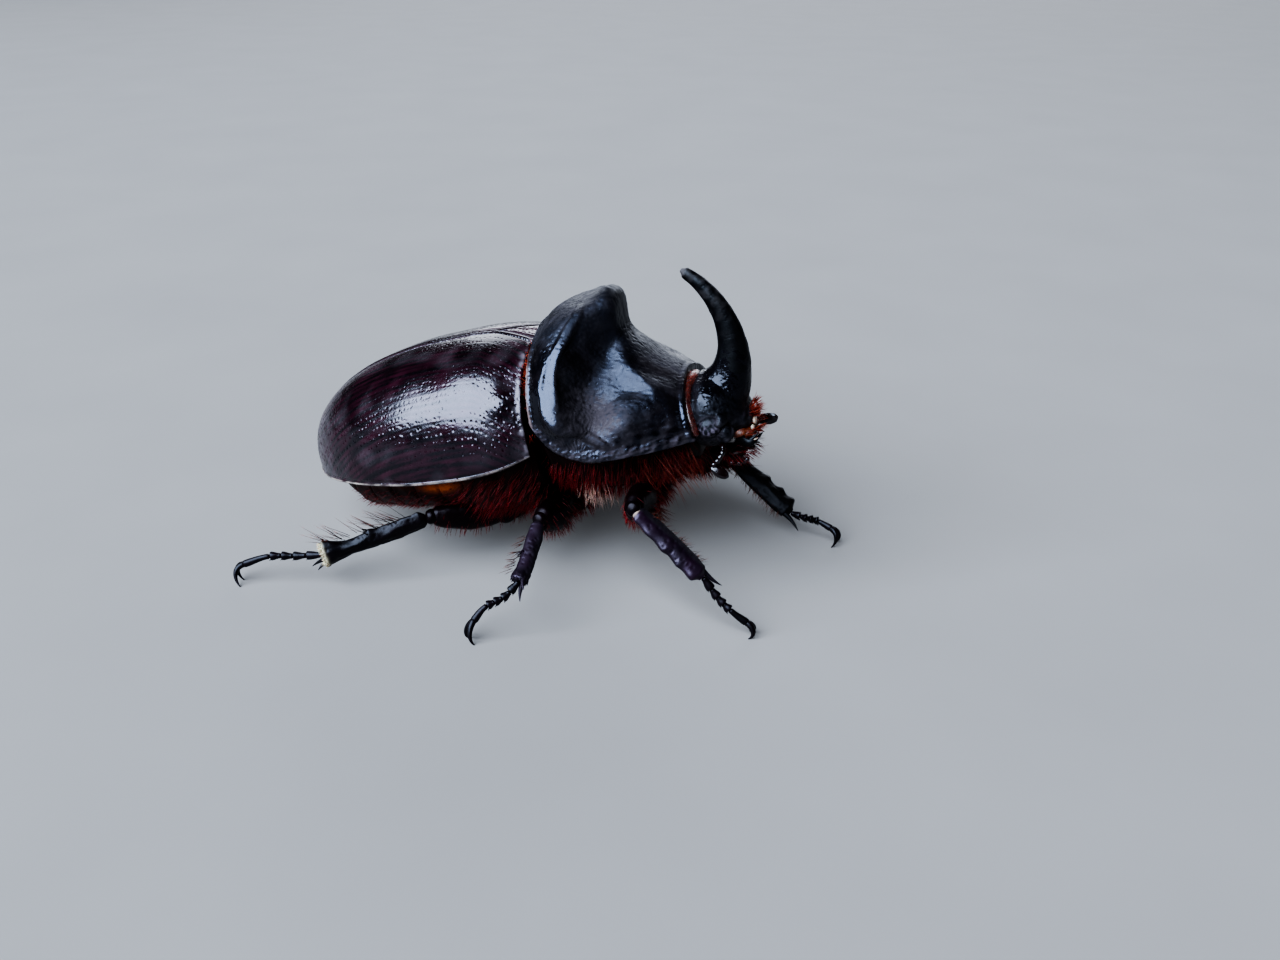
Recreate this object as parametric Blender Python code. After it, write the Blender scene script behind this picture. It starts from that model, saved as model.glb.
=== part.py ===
"""A male rhinoceros beetle standing on its six legs, life size.

Sizes here are in millimetres and become metres where a mesh is made. Points are (side, back, up):
side grows towards the beetle's left, so the animal faces -Y. The trunk is modelled level and then
pitched head-up with its parent empty. The legs are modelled where they stand on the floor.
"""

import math

import bmesh
import bpy
import numpy as np

MM = 0.001
GAP = 0.3
SHELL = 0.7

# How the trunk is carried, and where the middle of the whole animal is on the floor.
TRUNK_PITCH = math.radians(13.0)
TRUNK_HEIGHT = 9.8
FLOOR_CENTRE = (0.0, -2.4)

# Wing cases. "Ahead" is the distance in front of the trunk's own origin.
ELYTRA_FRONT = 3.3
ELYTRA_WIDEST = -2.0
ELYTRA_TIP = -19.08
ELYTRA_HALF_WIDTH = 9.1
ELYTRA_SHOULDER = 8.0
ELYTRA_HEIGHT = 8.84
ELYTRA_HIGHEST = -2.85
ELYTRA_SECTION = 2.3
ELYTRA_REAR_FULLNESS = 2.29
ELYTRA_FRONT_DROP = 1.46
SHOULDER_POWER = 2.4
MARGIN_LOW = 0.0
MARGIN_RISE = 1.08
MARGIN_RISE_START = -16.8
MARGIN_RISE_END = 3.4
MARGIN_POWER = 5.4

SCUTELLUM_APEX = -0.3
SCUTELLUM_HALF_WIDTH = 1.7
SCUTELLUM_THICK = 0.8

# Pronotum: a shield around the trunk's long axis, described by its radius about that axis.
PRONOTUM_REAR = 3.8
PRONOTUM_FRONT = 15.0
PRONOTUM_REAR_RADIUS = 9.1
PRONOTUM_MARGIN_RADIUS = 8.75
PRONOTUM_TAPER = 4.0
PRONOTUM_TAPER_POWER = 1.8
HUMP_RISE = 1.78
HUMP_RUN = 1.52
CREST_AHEAD = 9.6
CREST_LEAN = 0.67
CREST_SHARPNESS = 0.236
CREST_HALF_LENGTH = 1.1
CREST_STOPS = (0.0, 0.3, 0.7, 1.0)
FACE_DIP = 1.31

# Swellings (+) and hollows (-) of the shield: height, ahead, its reach, angle from the top, its reach.
HUMP_KNOBS = ((0.61, 9.5, 1.03, 0, 8), (0.2, 8.2, 1.3, 21, 7))
FACE_FORMS = ((1.25, 10.5, 1.6, 0, 35), (-0.9, 8.4, 1.5, 58, 14), (0.35, 12.3, 1.6, 46, 16))

# Underside depths below the trunk's long axis.
PROTHORAX_DEPTH = 4.5
THORAX_DEPTH = 5.3
CORE_REACH = 1.8
ABDOMEN_DEPTH = 4.7
THORAX_REAR = -3.0
ABDOMEN_REAR = -14.3
PYGIDIUM_REAR = -17.3

HORN_CURVE = ((16.2, 1.35), (19.45, 3.6), (18.55, 9.05), (15.45, 11.45))
HORN_TIP_RADIUS = 0.4
HORN_TAPER = 0.98
HORN_FLARE = 1.38
HORN_FLARE_RUN = 0.187
HORN_THICKEST = 2.2

# Legs: hip, knee, ankle and the knuckles of the foot as (ahead, outward, up) on the floor.
LEGS = {
    "front_right": {
        "sign": -1,
        "hip": (11.0, 3.6, 7.2),
        "knee": (11.5, 9.9, 9.3),
        "ankle": (16.9, 10.4, 4.7),
        "foot": ((18.1, 10.3, 3.0), (19.2, 10.2, 1.9), (20.3, 10.1, 1.1)),
        "claw": (20.5, 10.0, 0.18),
        "edge": (-1.0, 0.1, -0.3),
    },
    "front_left": {
        "sign": 1,
        "hip": (11.2, 3.5, 7.3),
        "knee": (15.4, 8.0, 6.1),
        "ankle": (21.0, 6.3, 2.1),
        "foot": ((22.3, 6.1, 1.9), (23.4, 5.8, 1.9), (24.6, 5.5, 1.5)),
        "claw": (25.0, 5.4, 0.18),
        "edge": (1.0, -0.4, 0.5),
    },
    "mid_right": {
        "sign": -1,
        "hip": (4.6, 3.2, 5.4),
        "knee": (3.6, 8.3, 6.5),
        "ankle": (3.8, 13.5, 4.1),
        "foot": ((2.9, 14.3, 3.1), (1.6, 15.0, 2.4), (0.9, 15.7, 1.5)),
        "claw": (0.8, 16.2, 0.18),
        "edge": (0.0, 1.0, 0.4),
    },
    "mid_left": {
        "sign": 1,
        "hip": (4.6, 3.2, 5.4),
        "knee": (3.2, 8.3, 6.6),
        "ankle": (1.6, 13.3, 3.9),
        "foot": ((0.6, 14.2, 2.8), (-0.4, 15.0, 1.9), (-1.1, 15.8, 1.1)),
        "claw": (-1.3, 16.3, 0.18),
        "edge": (0.0, 1.0, 0.4),
    },
    "hind_right": {
        "sign": -1,
        "hip": (-1.0, 3.4, 4.0),
        "knee": (-6.1, 7.2, 4.9),
        "ankle": (-13.4, 11.3, 2.6),
        "foot": ((-15.8, 11.6, 2.3), (-18.0, 12.1, 2.2), (-20.0, 12.7, 1.5)),
        "claw": (-20.1, 13.2, 0.18),
    },
    "hind_left": {
        "sign": 1,
        "hip": (-1.0, 3.4, 4.0),
        "knee": (-5.6, 7.4, 5.0),
        "ankle": (-12.2, 11.0, 2.6),
        "foot": ((-14.3, 11.6, 2.2), (-16.3, 12.2, 2.0), (-18.0, 12.9, 1.4)),
        "claw": (-18.3, 13.4, 0.18),
    },
}
TIBIA_HALF_WIDTH = {"front": 0.86, "mid": 0.58, "hind": 0.74}
TIBIA_FLARE = {"front": 0.0, "mid": 0.2, "hind": 0.42}
TIBIA_SIDES = 7
SPUR_SPREAD = {"front": 0.45, "mid": 0.2, "hind": 0.45}
TOOTH_PLACES = (0.52, 0.76, 0.97)
TOOTH_HEIGHT = 0.5
TOOTH_REACH = 0.13
COXA_SIZES = {"front": (1.45, 1.15), "mid": (1.4, 1.1), "hind": (1.5, 1.05)}
COXA_TO_MIDDLE = 0.45
FEMUR_HALF_WIDTH = {"front": 1.5, "mid": 1.45, "hind": 1.5}

MATERIALS = {
    "elytra": ((0.022, 0.008, 0.014), 0.2),
    "pronotum": ((0.010, 0.010, 0.013), 0.22),
    "horn": ((0.014, 0.013, 0.014), 0.38),
    "head": ((0.010, 0.010, 0.012), 0.28),
    "underside": ((0.060, 0.012, 0.006), 0.4),
    "legs": ((0.014, 0.008, 0.012), 0.22),
    "antennae": ((0.030, 0.010, 0.006), 0.3),
    "eyes": ((0.006, 0.006, 0.008), 0.08),
    "mouth": ((0.160, 0.040, 0.014), 0.45),
}


def clear_scene():
    for old in list(bpy.data.objects):
        bpy.data.objects.remove(old, do_unlink=True)


def material(slot):
    """The Principled material of one slot, made once."""
    made = bpy.data.materials.get(slot)
    if made is None:
        colour, roughness = MATERIALS[slot]
        made = bpy.data.materials.new(slot)
        made.use_nodes = True
        shader = made.node_tree.nodes["Principled BSDF"]
        shader.inputs["Base Color"].default_value = (*colour, 1.0)
        shader.inputs["Roughness"].default_value = roughness
        shader.inputs["Metallic"].default_value = 0.0
    return made


def smooth(low, high, value):
    """0 below low, 1 above high, and a soft step between."""
    x = np.clip((value - low) / (high - low), 0.0, 1.0)
    return x * x * (3 - 2 * x)


def bell(value, centre, width):
    return np.exp(-(((value - centre) / width) ** 2))


def bezier(corners, t):
    """A point on the cubic curve with these four corners, at each t."""
    p = np.array(corners, float)
    t = np.asarray(t, float)[..., None]
    s = 1 - t
    return s**3 * p[0] + 3 * s**2 * t * p[1] + 3 * s * t**2 * p[2] + t**3 * p[3]


def spline(points, per_span):
    """A smooth curve through the points, with per_span steps between each pair."""
    p = np.array(points, float)
    p = np.vstack([2 * p[0] - p[1], p, 2 * p[-1] - p[-2]])
    out = []
    for i in range(1, len(p) - 2):
        for t in np.arange(per_span) / per_span:
            a = 2 * p[i] + (p[i + 1] - p[i - 1]) * t
            b = (2 * p[i - 1] - 5 * p[i] + 4 * p[i + 1] - p[i + 2]) * t**2
            c = (3 * p[i] - p[i - 1] - 3 * p[i + 1] + p[i + 2]) * t**3
            out.append((a + b + c) / 2)
    out.append(p[-2])
    return np.array(out)


# ---------------------------------------------------------------- meshes


def fan(ring, middle):
    """Triangles from a closed ring of point numbers to one middle point."""
    return [(ring[j], ring[(j + 1) % len(ring)], middle) for j in range(len(ring))]


def ladder(ring):
    """Quads across a ring that is an outer row followed by the inner row on its way back."""
    n = len(ring)
    return [(ring[j], ring[j + 1], ring[n - 2 - j], ring[n - 1 - j]) for j in range(n // 2 - 1)]


def loft(rings, cap):
    """Points and faces of a skin over closed rings, with both ends closed by cap."""
    rings = np.array(rings, float)
    count, size = rings.shape[:2]
    points = [tuple(p) for p in rings.reshape(-1, 3)]
    number = np.arange(count * size).reshape(count, size)
    faces = []
    for i in range(count - 1):
        for j in range(size):
            k = (j + 1) % size
            faces.append((number[i, j], number[i, k], number[i + 1, k], number[i + 1, j]))
    for end in (0, count - 1):
        if cap == "fan":
            points.append(tuple(rings[end].mean(axis=0)))
            faces += fan(list(number[end]), len(points) - 1)
        else:
            faces += ladder(list(number[end]))
    return points, faces


def new_object(name, shape, slot, parent):
    """One closed body in the scene. Points that coincide become one, and empty faces are dropped."""
    points, faces = shape
    body = bmesh.new()
    known = {}
    index = []
    for p in points:
        key = tuple(round(c, 4) for c in p)
        if key not in known:
            known[key] = body.verts.new([c * MM for c in p])
        index.append(known[key])
    for face in faces:
        corners = list(dict.fromkeys(index[i] for i in face))
        if len(corners) > 2 and body.faces.get(corners) is None:
            body.faces.new(corners)
    bmesh.ops.recalc_face_normals(body, faces=body.faces)
    mesh = bpy.data.meshes.new(name)
    body.to_mesh(mesh)
    body.free()
    mesh.shade_smooth()
    mesh.set_sharp_from_angle(angle=math.radians(50))
    mesh.materials.append(material(slot))
    made = bpy.data.objects.new(name, mesh)
    made.parent = parent
    bpy.context.scene.collection.objects.link(made)
    return made


def combine(target, helper, operation):
    """Joins a helper to the target, or cuts it away, with a Boolean that stays on the target."""
    helper.hide_render = True
    helper.display_type = "WIRE"
    step = target.modifiers.new(operation.lower() + "_" + helper.name, "BOOLEAN")
    step.object = helper
    step.operation = operation
    step.solver = "EXACT"


def sweep(path, wide_plus, wide_minus, deep, side, sides):
    """Rings along a path. Each is wide towards +side and -side, and deep across them."""
    path = np.array(path, float)
    ahead = np.gradient(path, axis=0)
    ahead /= np.linalg.norm(ahead, axis=1, keepdims=True)
    rings = []
    for i, centre in enumerate(path):
        across = np.array(side, float) - ahead[i] * np.dot(side, ahead[i])
        across /= np.linalg.norm(across)
        up = np.cross(across, ahead[i])
        ring = []
        for j in range(sides):
            angle = 2 * math.pi * j / sides
            wide = wide_plus[i] if math.cos(angle) > 0 else wide_minus[i]
            ring.append(centre + across * wide * math.cos(angle) + up * deep[i] * math.sin(angle))
        rings.append(ring)
    return np.array(rings)


def spindle(start, end, wide, deep, side, sides=8, bulge=0.45, ends=0.45, steps=6):
    """A limb piece that is thick part of the way along and rounded at both ends."""
    start, end = np.array(start, float), np.array(end, float)
    t = (1 - np.cos(np.pi * np.linspace(0, 1, steps + 1))) / 2
    path = start + (end - start) * t[:, None]
    body = np.where(t < bulge, t / bulge, (1 - t) / (1 - bulge))
    size = ends + (1 - ends) * np.sin(body * np.pi / 2)
    size[0] = size[-1] = ends * 0.5
    return sweep(path, wide * size, wide * size, deep * size, side, sides)


# ---------------------------------------------------------------- wing cases


def margin_height(ahead):
    """The height of the wing cases' side edge."""
    run = (ahead - MARGIN_RISE_START) / (MARGIN_RISE_END - MARGIN_RISE_START)
    return MARGIN_LOW + MARGIN_RISE * np.clip(run, 0.0, 1.0) ** MARGIN_POWER


def wing_station(place, inset):
    """Ahead, half width and height of the wing dome: place runs from -1, front, over 0 to 1, tip."""
    if place < 0:
        ahead = ELYTRA_WIDEST - place * (ELYTRA_FRONT - ELYTRA_WIDEST)
        narrower = ELYTRA_HALF_WIDTH - ELYTRA_SHOULDER
        half_width = ELYTRA_HALF_WIDTH - narrower * abs(place) ** SHOULDER_POWER
    else:
        ahead = ELYTRA_WIDEST - place * (ELYTRA_WIDEST - ELYTRA_TIP - inset)
        half_width = ELYTRA_HALF_WIDTH * math.sqrt(max(0.0, 1 - place**2))
    back = np.clip((ELYTRA_HIGHEST - ahead) / (ELYTRA_HIGHEST - ELYTRA_TIP - inset), 0.0, 1.0)
    closing = (1 - back**ELYTRA_REAR_FULLNESS) ** (1 / ELYTRA_REAR_FULLNESS)
    front = np.clip((ahead - ELYTRA_HIGHEST) / (ELYTRA_FRONT - ELYTRA_HIGHEST), 0.0, 1.0)
    top = ELYTRA_HEIGHT * closing - ELYTRA_FRONT_DROP * front**2
    squeeze = half_width / ELYTRA_HALF_WIDTH if place > 0 else 1.0
    return ahead, half_width - inset * squeeze, top - inset * closing


def dome_height(side, half_width, height):
    """The height of the dome above its margin, at a distance from the suture."""
    u = np.clip(np.abs(side) / max(half_width, 1e-6), 0.0, 1.0)
    return height * (1 - u**ELYTRA_SECTION) ** (1 / ELYTRA_SECTION)


def scutellum_half_width(ahead):
    run = (ahead - SCUTELLUM_APEX) / (ELYTRA_FRONT - SCUTELLUM_APEX)
    return SCUTELLUM_HALF_WIDTH * np.clip(run, 0.0, 1.0)


def suture_side(ahead):
    """How far the inner edge of a wing case is from the middle."""
    return GAP / 2 + scutellum_half_width(ahead) + GAP * 0.5 * smooth(-1.2, 0.0, ahead - SCUTELLUM_APEX)


def wing_row(place, inset, steps):
    """Points from the suture to the side margin."""
    ahead, half_width, height = wing_station(place, inset)
    inner = float(suture_side(ahead))
    half_width = max(half_width, inner)
    share = np.sin(np.linspace(0, 1, steps + 1) * np.pi / 2)
    side = inner + (half_width - inner) * share
    if half_width - inner < 1e-3:
        rise = np.zeros_like(side)
    else:
        rise = dome_height(side, half_width, height)
        rise[-1] = 0.0
    up = margin_height(ahead) + rise
    return np.stack([side, np.full_like(side, -ahead), up], axis=1)


REAR_TURNS = (8, 22, 35, 47, 58, 68, 76, 83, 90)
WING_PLACES = [-1.0, -0.75, -0.45, -0.15] + [math.sin(math.radians(a)) for a in REAR_TURNS]


def elytron(name, sign, parent):
    rings = []
    for place in WING_PLACES:
        outer = wing_row(place, 0.0, 9)
        inner = wing_row(place, SHELL, 9)
        if place < 1:
            inner[-1, 2] = outer[-1, 2]
        rings.append(np.vstack([outer, inner[::-1]]))
    rings = np.array(rings)
    rings[:, :, 0] *= sign
    return new_object(name, loft(rings, "ladder"), "elytra", parent)


def scutellum(parent):
    """The small triangle between the bases of the wing cases."""
    rings = []
    for ahead in np.linspace(ELYTRA_FRONT, SCUTELLUM_APEX + 0.4, 5):
        place = (ELYTRA_WIDEST - ahead) / (ELYTRA_FRONT - ELYTRA_WIDEST)
        height = wing_station(place, 0.0)[2]
        half = float(scutellum_half_width(ahead))
        side = np.linspace(-half, half, 5)
        top = margin_height(ahead) + dome_height(side, ELYTRA_SHOULDER, height)
        upper = np.stack([side, np.full(5, -ahead), top], axis=1)
        lower = upper[::-1] - (0, 0, SCUTELLUM_THICK)
        rings.append(np.vstack([upper, lower]))
    return new_object("scutellum", loft(rings, "ladder"), "elytra", parent)


# ---------------------------------------------------------------- thorax and abdomen


def trunk_ring(place, depth, steps):
    """A full ring under the wing cases: the dome above the margin, the belly below it."""
    inset = SHELL + GAP
    ahead, half_width, height = wing_station(place, inset)
    half_width -= 0.15
    level = float(margin_height(ahead))
    angle = np.linspace(0, np.pi, steps + 1)
    side = -half_width * np.cos(angle)
    top = dome_height(side, half_width, height)
    belly = (depth + level) * np.sin(angle[1:-1]) ** 0.85
    upper = np.stack([side, np.full_like(side, -ahead), level + top], axis=1)
    lower = np.stack([side[1:-1], np.full_like(belly, -ahead), level - belly], axis=1)[::-1]
    return np.vstack([upper, lower])


def place_of(ahead, inset):
    """The wing station that lies this far ahead."""
    if ahead > ELYTRA_WIDEST:
        return (ELYTRA_WIDEST - ahead) / (ELYTRA_FRONT - ELYTRA_WIDEST)
    return (ELYTRA_WIDEST - ahead) / (ELYTRA_WIDEST - ELYTRA_TIP - inset)


# Front, rear, depth at the front, depth at the rear and the number of rings.
THORAX_RUN = (ELYTRA_FRONT - 0.2, THORAX_REAR, THORAX_DEPTH, THORAX_DEPTH, 5)
ABDOMEN_RUN = (THORAX_REAR - GAP, ABDOMEN_REAR, ABDOMEN_DEPTH, ABDOMEN_DEPTH * 0.9, 7)
PYGIDIUM_RUN = (ABDOMEN_REAR - GAP, PYGIDIUM_REAR, ABDOMEN_DEPTH * 0.88, 1.0, 4)


def trunk_piece(name, front, rear, depth_front, depth_rear, stations, parent):
    rings = []
    for t in np.linspace(0, 1, stations):
        ahead = front + (rear - front) * t
        depth = depth_front + (depth_rear - depth_front) * t
        rings.append(trunk_ring(place_of(ahead, SHELL + GAP), depth, 9))
    return new_object(name, loft(rings, "fan"), "underside", parent)


# ---------------------------------------------------------------- pronotum


def shield_reach(ahead):
    """The angle from straight up at which the shield's side edge lies."""
    corner = 66 + 25 * (1 - np.exp(-(ahead - 4.1) / 1.7))
    return np.radians(corner + 4 * np.clip((ahead - 4) / 11, 0, 1) ** 3)


def forms(table, ahead, degrees):
    """The sum of a table of swellings and hollows."""
    total = 0.0
    for height, centre, reach, angle, angle_reach in table:
        total = total + height * bell(ahead, centre, reach) * bell(degrees, angle, angle_reach)
    return total


def crest_line(degrees):
    """How far ahead the foot of the crest lies, at an angle from straight up."""
    fold = CREST_AHEAD - 3.2 * smooth(8, 40, degrees) - 0.9 * smooth(34, 54, degrees)
    return fold + 1.5 * smooth(66, 88, degrees)


def shield_radius(ahead, angle):
    """The pronotum's outer surface: a hump behind a crest, and a scooped face in front of it."""
    degrees = np.degrees(np.abs(angle))
    x = np.clip((ahead - 4.0) / 11.0, 0.0, 1.0)
    lift = 1 - 1.55 * smooth(50, 75, degrees)
    rise = 1 - np.exp(-np.maximum(ahead - PRONOTUM_REAR, 0.0) / HUMP_RUN)
    hump = PRONOTUM_REAR_RADIUS + HUMP_RISE * rise * lift + forms(HUMP_KNOBS, ahead, degrees)
    face = PRONOTUM_MARGIN_RADIUS - PRONOTUM_TAPER * x**PRONOTUM_TAPER_POWER
    face = face - FACE_DIP * np.maximum(np.cos(angle), 0.0) ** 1.3 + forms(FACE_FORMS, ahead, degrees)
    sharp = CREST_SHARPNESS + 0.24 * smooth(8, 40, degrees)
    share = 1 / (1 + np.exp(-(ahead - crest_line(degrees)) / sharp))
    return hump * (1 - share) + face * share


def crest_lean(ahead, radius):
    """How far forward the top of the hump's front wall leans over its foot."""
    return CREST_LEAN * smooth(7.4, 10.6, radius) * smooth(CREST_AHEAD - 3, CREST_AHEAD, ahead)


def inner_radius(ahead, angle, inset, reach):
    """The surface this far inside the shield, and this far clear of its steep front wall."""
    nearby = [shield_radius(ahead + reach * k, angle) for k in np.linspace(-1, 1, 9)]
    return np.min(nearby, axis=0) - inset


def shield_row(t, inset, steps):
    """Points across the shield from its right edge to its left edge, t from rear to front."""
    u = np.linspace(-1, 1, steps + 1)
    rear = PRONOTUM_REAR + 0.3 * u**2
    front = PRONOTUM_FRONT - 0.6 + 0.7 * u**2
    reach = shield_reach(rear + (front - rear) * t)
    fold = crest_line(np.degrees(np.abs(u * reach)))
    half = np.minimum(CREST_HALF_LENGTH, 0.45 * (fold - rear))
    stops = np.stack([rear, fold - half, fold + half, front])
    ahead = np.array([np.interp(t, CREST_STOPS, stop) for stop in stops.T])
    angle = u * shield_reach(ahead)
    radius = inner_radius(ahead, angle, inset, inset)
    ahead = ahead + crest_lean(ahead, radius)
    return np.stack([radius * np.sin(angle), -ahead, radius * np.cos(angle)], axis=1)


SHIELD_STATIONS = [0, 0.06, 0.14, 0.22, 0.3, 0.36, 0.42, 0.47, 0.51]
SHIELD_STATIONS += [0.55, 0.59, 0.64, 0.7, 0.76, 0.82, 0.88, 0.94, 1]


def pronotum(parent):
    rings = []
    for t in SHIELD_STATIONS:
        outer = shield_row(t, 0.0, 20)
        inner = shield_row(t, SHELL, 20)
        rings.append(np.vstack([outer, inner[::-1]]))
    return new_object("pronotum", loft(rings, "ladder"), "pronotum", parent)


def prothorax_underside(parent):
    """The first thorax ring inside the shield, with the belly side that carries the front legs, and the waist behind it."""
    rings = []
    for ahead in np.linspace(PRONOTUM_REAR + 0.5, PRONOTUM_FRONT - 1.1, 9):
        reach = float(shield_reach(ahead)) - 0.06
        angle = np.linspace(-1, 1, 13) * reach
        radius = inner_radius(ahead, angle, SHELL + GAP + 0.15, CORE_REACH)
        upper = np.stack([radius * np.sin(angle), np.full(13, -ahead), radius * np.cos(angle)], axis=1)
        depth = PROTHORAX_DEPTH - 1.4 * smooth(11.5, 14.0, ahead) - 0.6 * smooth(7.5, 4.0, ahead)
        edge = upper[-1]
        turn = np.linspace(0, np.pi, 11)[1:-1]
        drop = (depth + edge[2]) * np.sin(turn) ** 0.8
        lower = np.stack([edge[0] * np.cos(turn), np.full(9, -ahead), edge[2] - drop], axis=1)
        rings.append(np.vstack([upper, lower]))
    middle = rings[0].mean(axis=0)
    waist = []
    for ahead, share in ((ELYTRA_FRONT - 0.1, 0.86), (PRONOTUM_REAR, 0.9)):
        ring = middle + (rings[0] - middle) * share
        ring[:, 1] = -ahead
        waist.append(ring)
    return new_object("prothorax_underside", loft(waist + rings, "fan"), "underside", parent)


# ---------------------------------------------------------------- head

# Ahead, half width, top and bottom of the head at each station.
HEAD_STATIONS = (
    (14.25, 2.2, 2.2, -1.8),
    (14.9, 3.0, 3.1, -2.4),
    (15.7, 3.35, 3.5, -2.5),
    (16.5, 3.3, 3.4, -2.4),
    (17.3, 2.8, 3.0, -2.0),
    (18.0, 2.1, 2.1, -1.6),
    (18.5, 1.6, 0.9, -1.3),
    (18.75, 1.0, 0.1, -1.0),
)


def head(parent):
    rings = []
    for ahead, half_width, top, bottom in HEAD_STATIONS:
        ring = []
        for j in range(14):
            angle = 2 * math.pi * j / 14
            flat = abs(math.sin(angle)) ** 0.85 * math.copysign(1, math.sin(angle))
            up = (top + bottom) / 2 + (top - bottom) / 2 * flat
            ring.append((half_width * math.cos(angle), -ahead, up))
        rings.append(ring)
    return new_object("head", loft(rings, "fan"), "head", parent)


def horn_rings(grow, first, last, steps, sides):
    t = np.linspace(first, last, steps)
    middle = bezier(HORN_CURVE, t)
    path = np.stack([np.zeros(steps), -middle[:, 0], middle[:, 1]], axis=1)
    radius = HORN_TIP_RADIUS + HORN_TAPER * (1 - t) + HORN_FLARE * np.exp(-t / HORN_FLARE_RUN)
    radius = np.minimum(radius, HORN_THICKEST) + grow
    radius[-1] *= 0.6
    return sweep(path, radius * 0.92, radius * 0.92, radius, (1, 0, 0), sides)


def horn(parent):
    return new_object("horn", loft(horn_rings(0.0, 0.1, 1.0, 13, 12), "fan"), "horn", parent)


def eye(name, sign, grow, parent):
    """A bead at the side of the head."""
    start = (sign * 2.6, -15.8, 0.1)
    end = (sign * 3.8, -15.9, 0.0)
    size = 0.72 + grow
    shape = spindle(start, end, size, size, (0, 0, 1), bulge=0.5, ends=0.6, steps=4)
    return new_object(name, loft(shape, "fan"), "eyes", parent)


def mandible(name, sign, parent):
    """A short curved jaw beside the mouth."""
    route = ((sign * 1.25, -17.5, -2.2), (sign * 1.5, -18.3, -2.25), (sign * 0.9, -19.1, -2.1))
    path = spline(route, 2)
    size = np.array([0.3, 0.44, 0.42, 0.34, 0.25])
    shape = sweep(path, size, size, size * 0.8, (0, 0, 1), 7)
    return new_object(name, loft(shape, "fan"), "head", parent)


def mouthparts(parent):
    """The lip below the jaws."""
    shape = spindle((0, -14.9, -3.15), (0, -17.4, -2.95), 1.2, 0.45, (1, 0, 0), bulge=0.4, ends=0.7)
    return new_object("mouthparts", loft(shape, "fan"), "mouth", parent)


def palp(name, sign, parent):
    """A small feeler of the mouth, below the lip."""
    route = ((sign * 0.9, -16.2, -3.85), (sign * 1.3, -17.0, -3.9), (sign * 1.2, -17.9, -3.7))
    path = spline(route, 2)
    size = np.full(len(path), 0.27)
    size[0] = size[-1] = 0.2
    return new_object(name, loft(sweep(path, size, size, size, (0, 0, 1), 6), "fan"), "mouth", parent)


# Stalk and club of each antenna: the right one hangs, the left one points ahead.
ANTENNAE = {
    "right": {
        "sign": -1,
        "stalk": ((16.7, 3.3, -1.75), (16.7, 3.9, -2.1), (16.1, 4.0, -2.6)),
        "club": ((15.8, 3.95, -2.95), (16.85, 3.85, -3.95)),
    },
    "left": {
        "sign": 1,
        "stalk": ((16.7, 3.3, -1.75), (17.3, 3.6, -2.2), (18.0, 3.2, -2.2)),
        "club": ((18.25, 3.1, -2.25), (19.95, 2.95, -2.15)),
    },
}


def trunk_point(point, sign):
    """(ahead, outward, up) as a point of the trunk."""
    return np.array((sign * point[1], -point[0], point[2]))


def antenna(side, parent):
    plan = ANTENNAE[side]
    route = [trunk_point(p, plan["sign"]) for p in plan["stalk"]]
    path = spline(route, 2)
    beads = 0.27 + 0.05 * np.cos(np.arange(len(path)) * np.pi)
    stalk = sweep(path, beads, beads, beads, (0.1, 0.2, 1), 6)
    new_object("antenna_stalk_" + side, loft(stalk, "fan"), "antennae", parent)
    start, end = (trunk_point(p, plan["sign"]) for p in plan["club"])
    club = spindle(start, end, 0.5, 0.36, (0, 0.6, 1), bulge=0.55, ends=0.55)
    new_object("antenna_club_" + side, loft(club, "fan"), "antennae", parent)


# ---------------------------------------------------------------- legs


def floor_point(point, sign):
    return np.array((sign * point[1], -point[0], point[2]))


def toward(start, end, distance):
    """The point this far from start on the way to end."""
    start, end = np.array(start, float), np.array(end, float)
    return start + (end - start) * distance / np.linalg.norm(end - start)


def coxa_rings(plan, leg, grow):
    """The hip joint's piece, sunk into the belly."""
    hip = floor_point(plan["hip"], plan["sign"])
    wide, deep = COXA_SIZES[leg]
    inner = hip + np.array((plan["sign"] * (COXA_TO_MIDDLE - plan["hip"][1]), 0.0, 0.35))
    return spindle(inner, hip, wide + grow, deep + grow, (0, 1, 0), ends=0.6, steps=5)


def femur(name, plan, leg, grow, parent):
    hip = floor_point(plan["hip"], plan["sign"])
    knee = floor_point(plan["knee"], plan["sign"])
    start = toward(hip, knee, GAP)
    wide = FEMUR_HALF_WIDTH[leg]
    shape = spindle(
        start, knee, wide + grow, wide * 0.75 + grow, (0, 0, 1), ends=0.55, bulge=0.45, steps=6
    )
    return new_object(name, loft(shape, "fan"), "legs", parent)


def tibia_outline(leg, t):
    """Half widths of the shin towards its outer and inner edge, and its half thickness."""
    base = TIBIA_HALF_WIDTH[leg] * (0.55 + 0.45 * smooth(0.0, 0.35, t))
    outer = base.copy()
    if leg == "front":
        for tooth in TOOTH_PLACES:
            outer += TOOTH_HEIGHT * np.clip(1 - np.abs(t - tooth) / TOOTH_REACH, 0, 1)
        inner = base * (1 - 0.1 * t)
    else:
        outer += 0.3 * np.clip(1 - np.abs(t - 0.55) / 0.1, 0, 1)
        outer += TIBIA_FLARE[leg] * smooth(0.78, 1.0, t)
        inner = base + TIBIA_FLARE[leg] * 0.5 * smooth(0.8, 1.0, t)
    deep = TIBIA_HALF_WIDTH[leg] * (0.55 + 0.2 * smooth(0.1, 0.6, t))
    if leg != "front":
        deep = deep + 0.3 * smooth(0.8, 1.0, t)
    return outer, inner, deep


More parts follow.
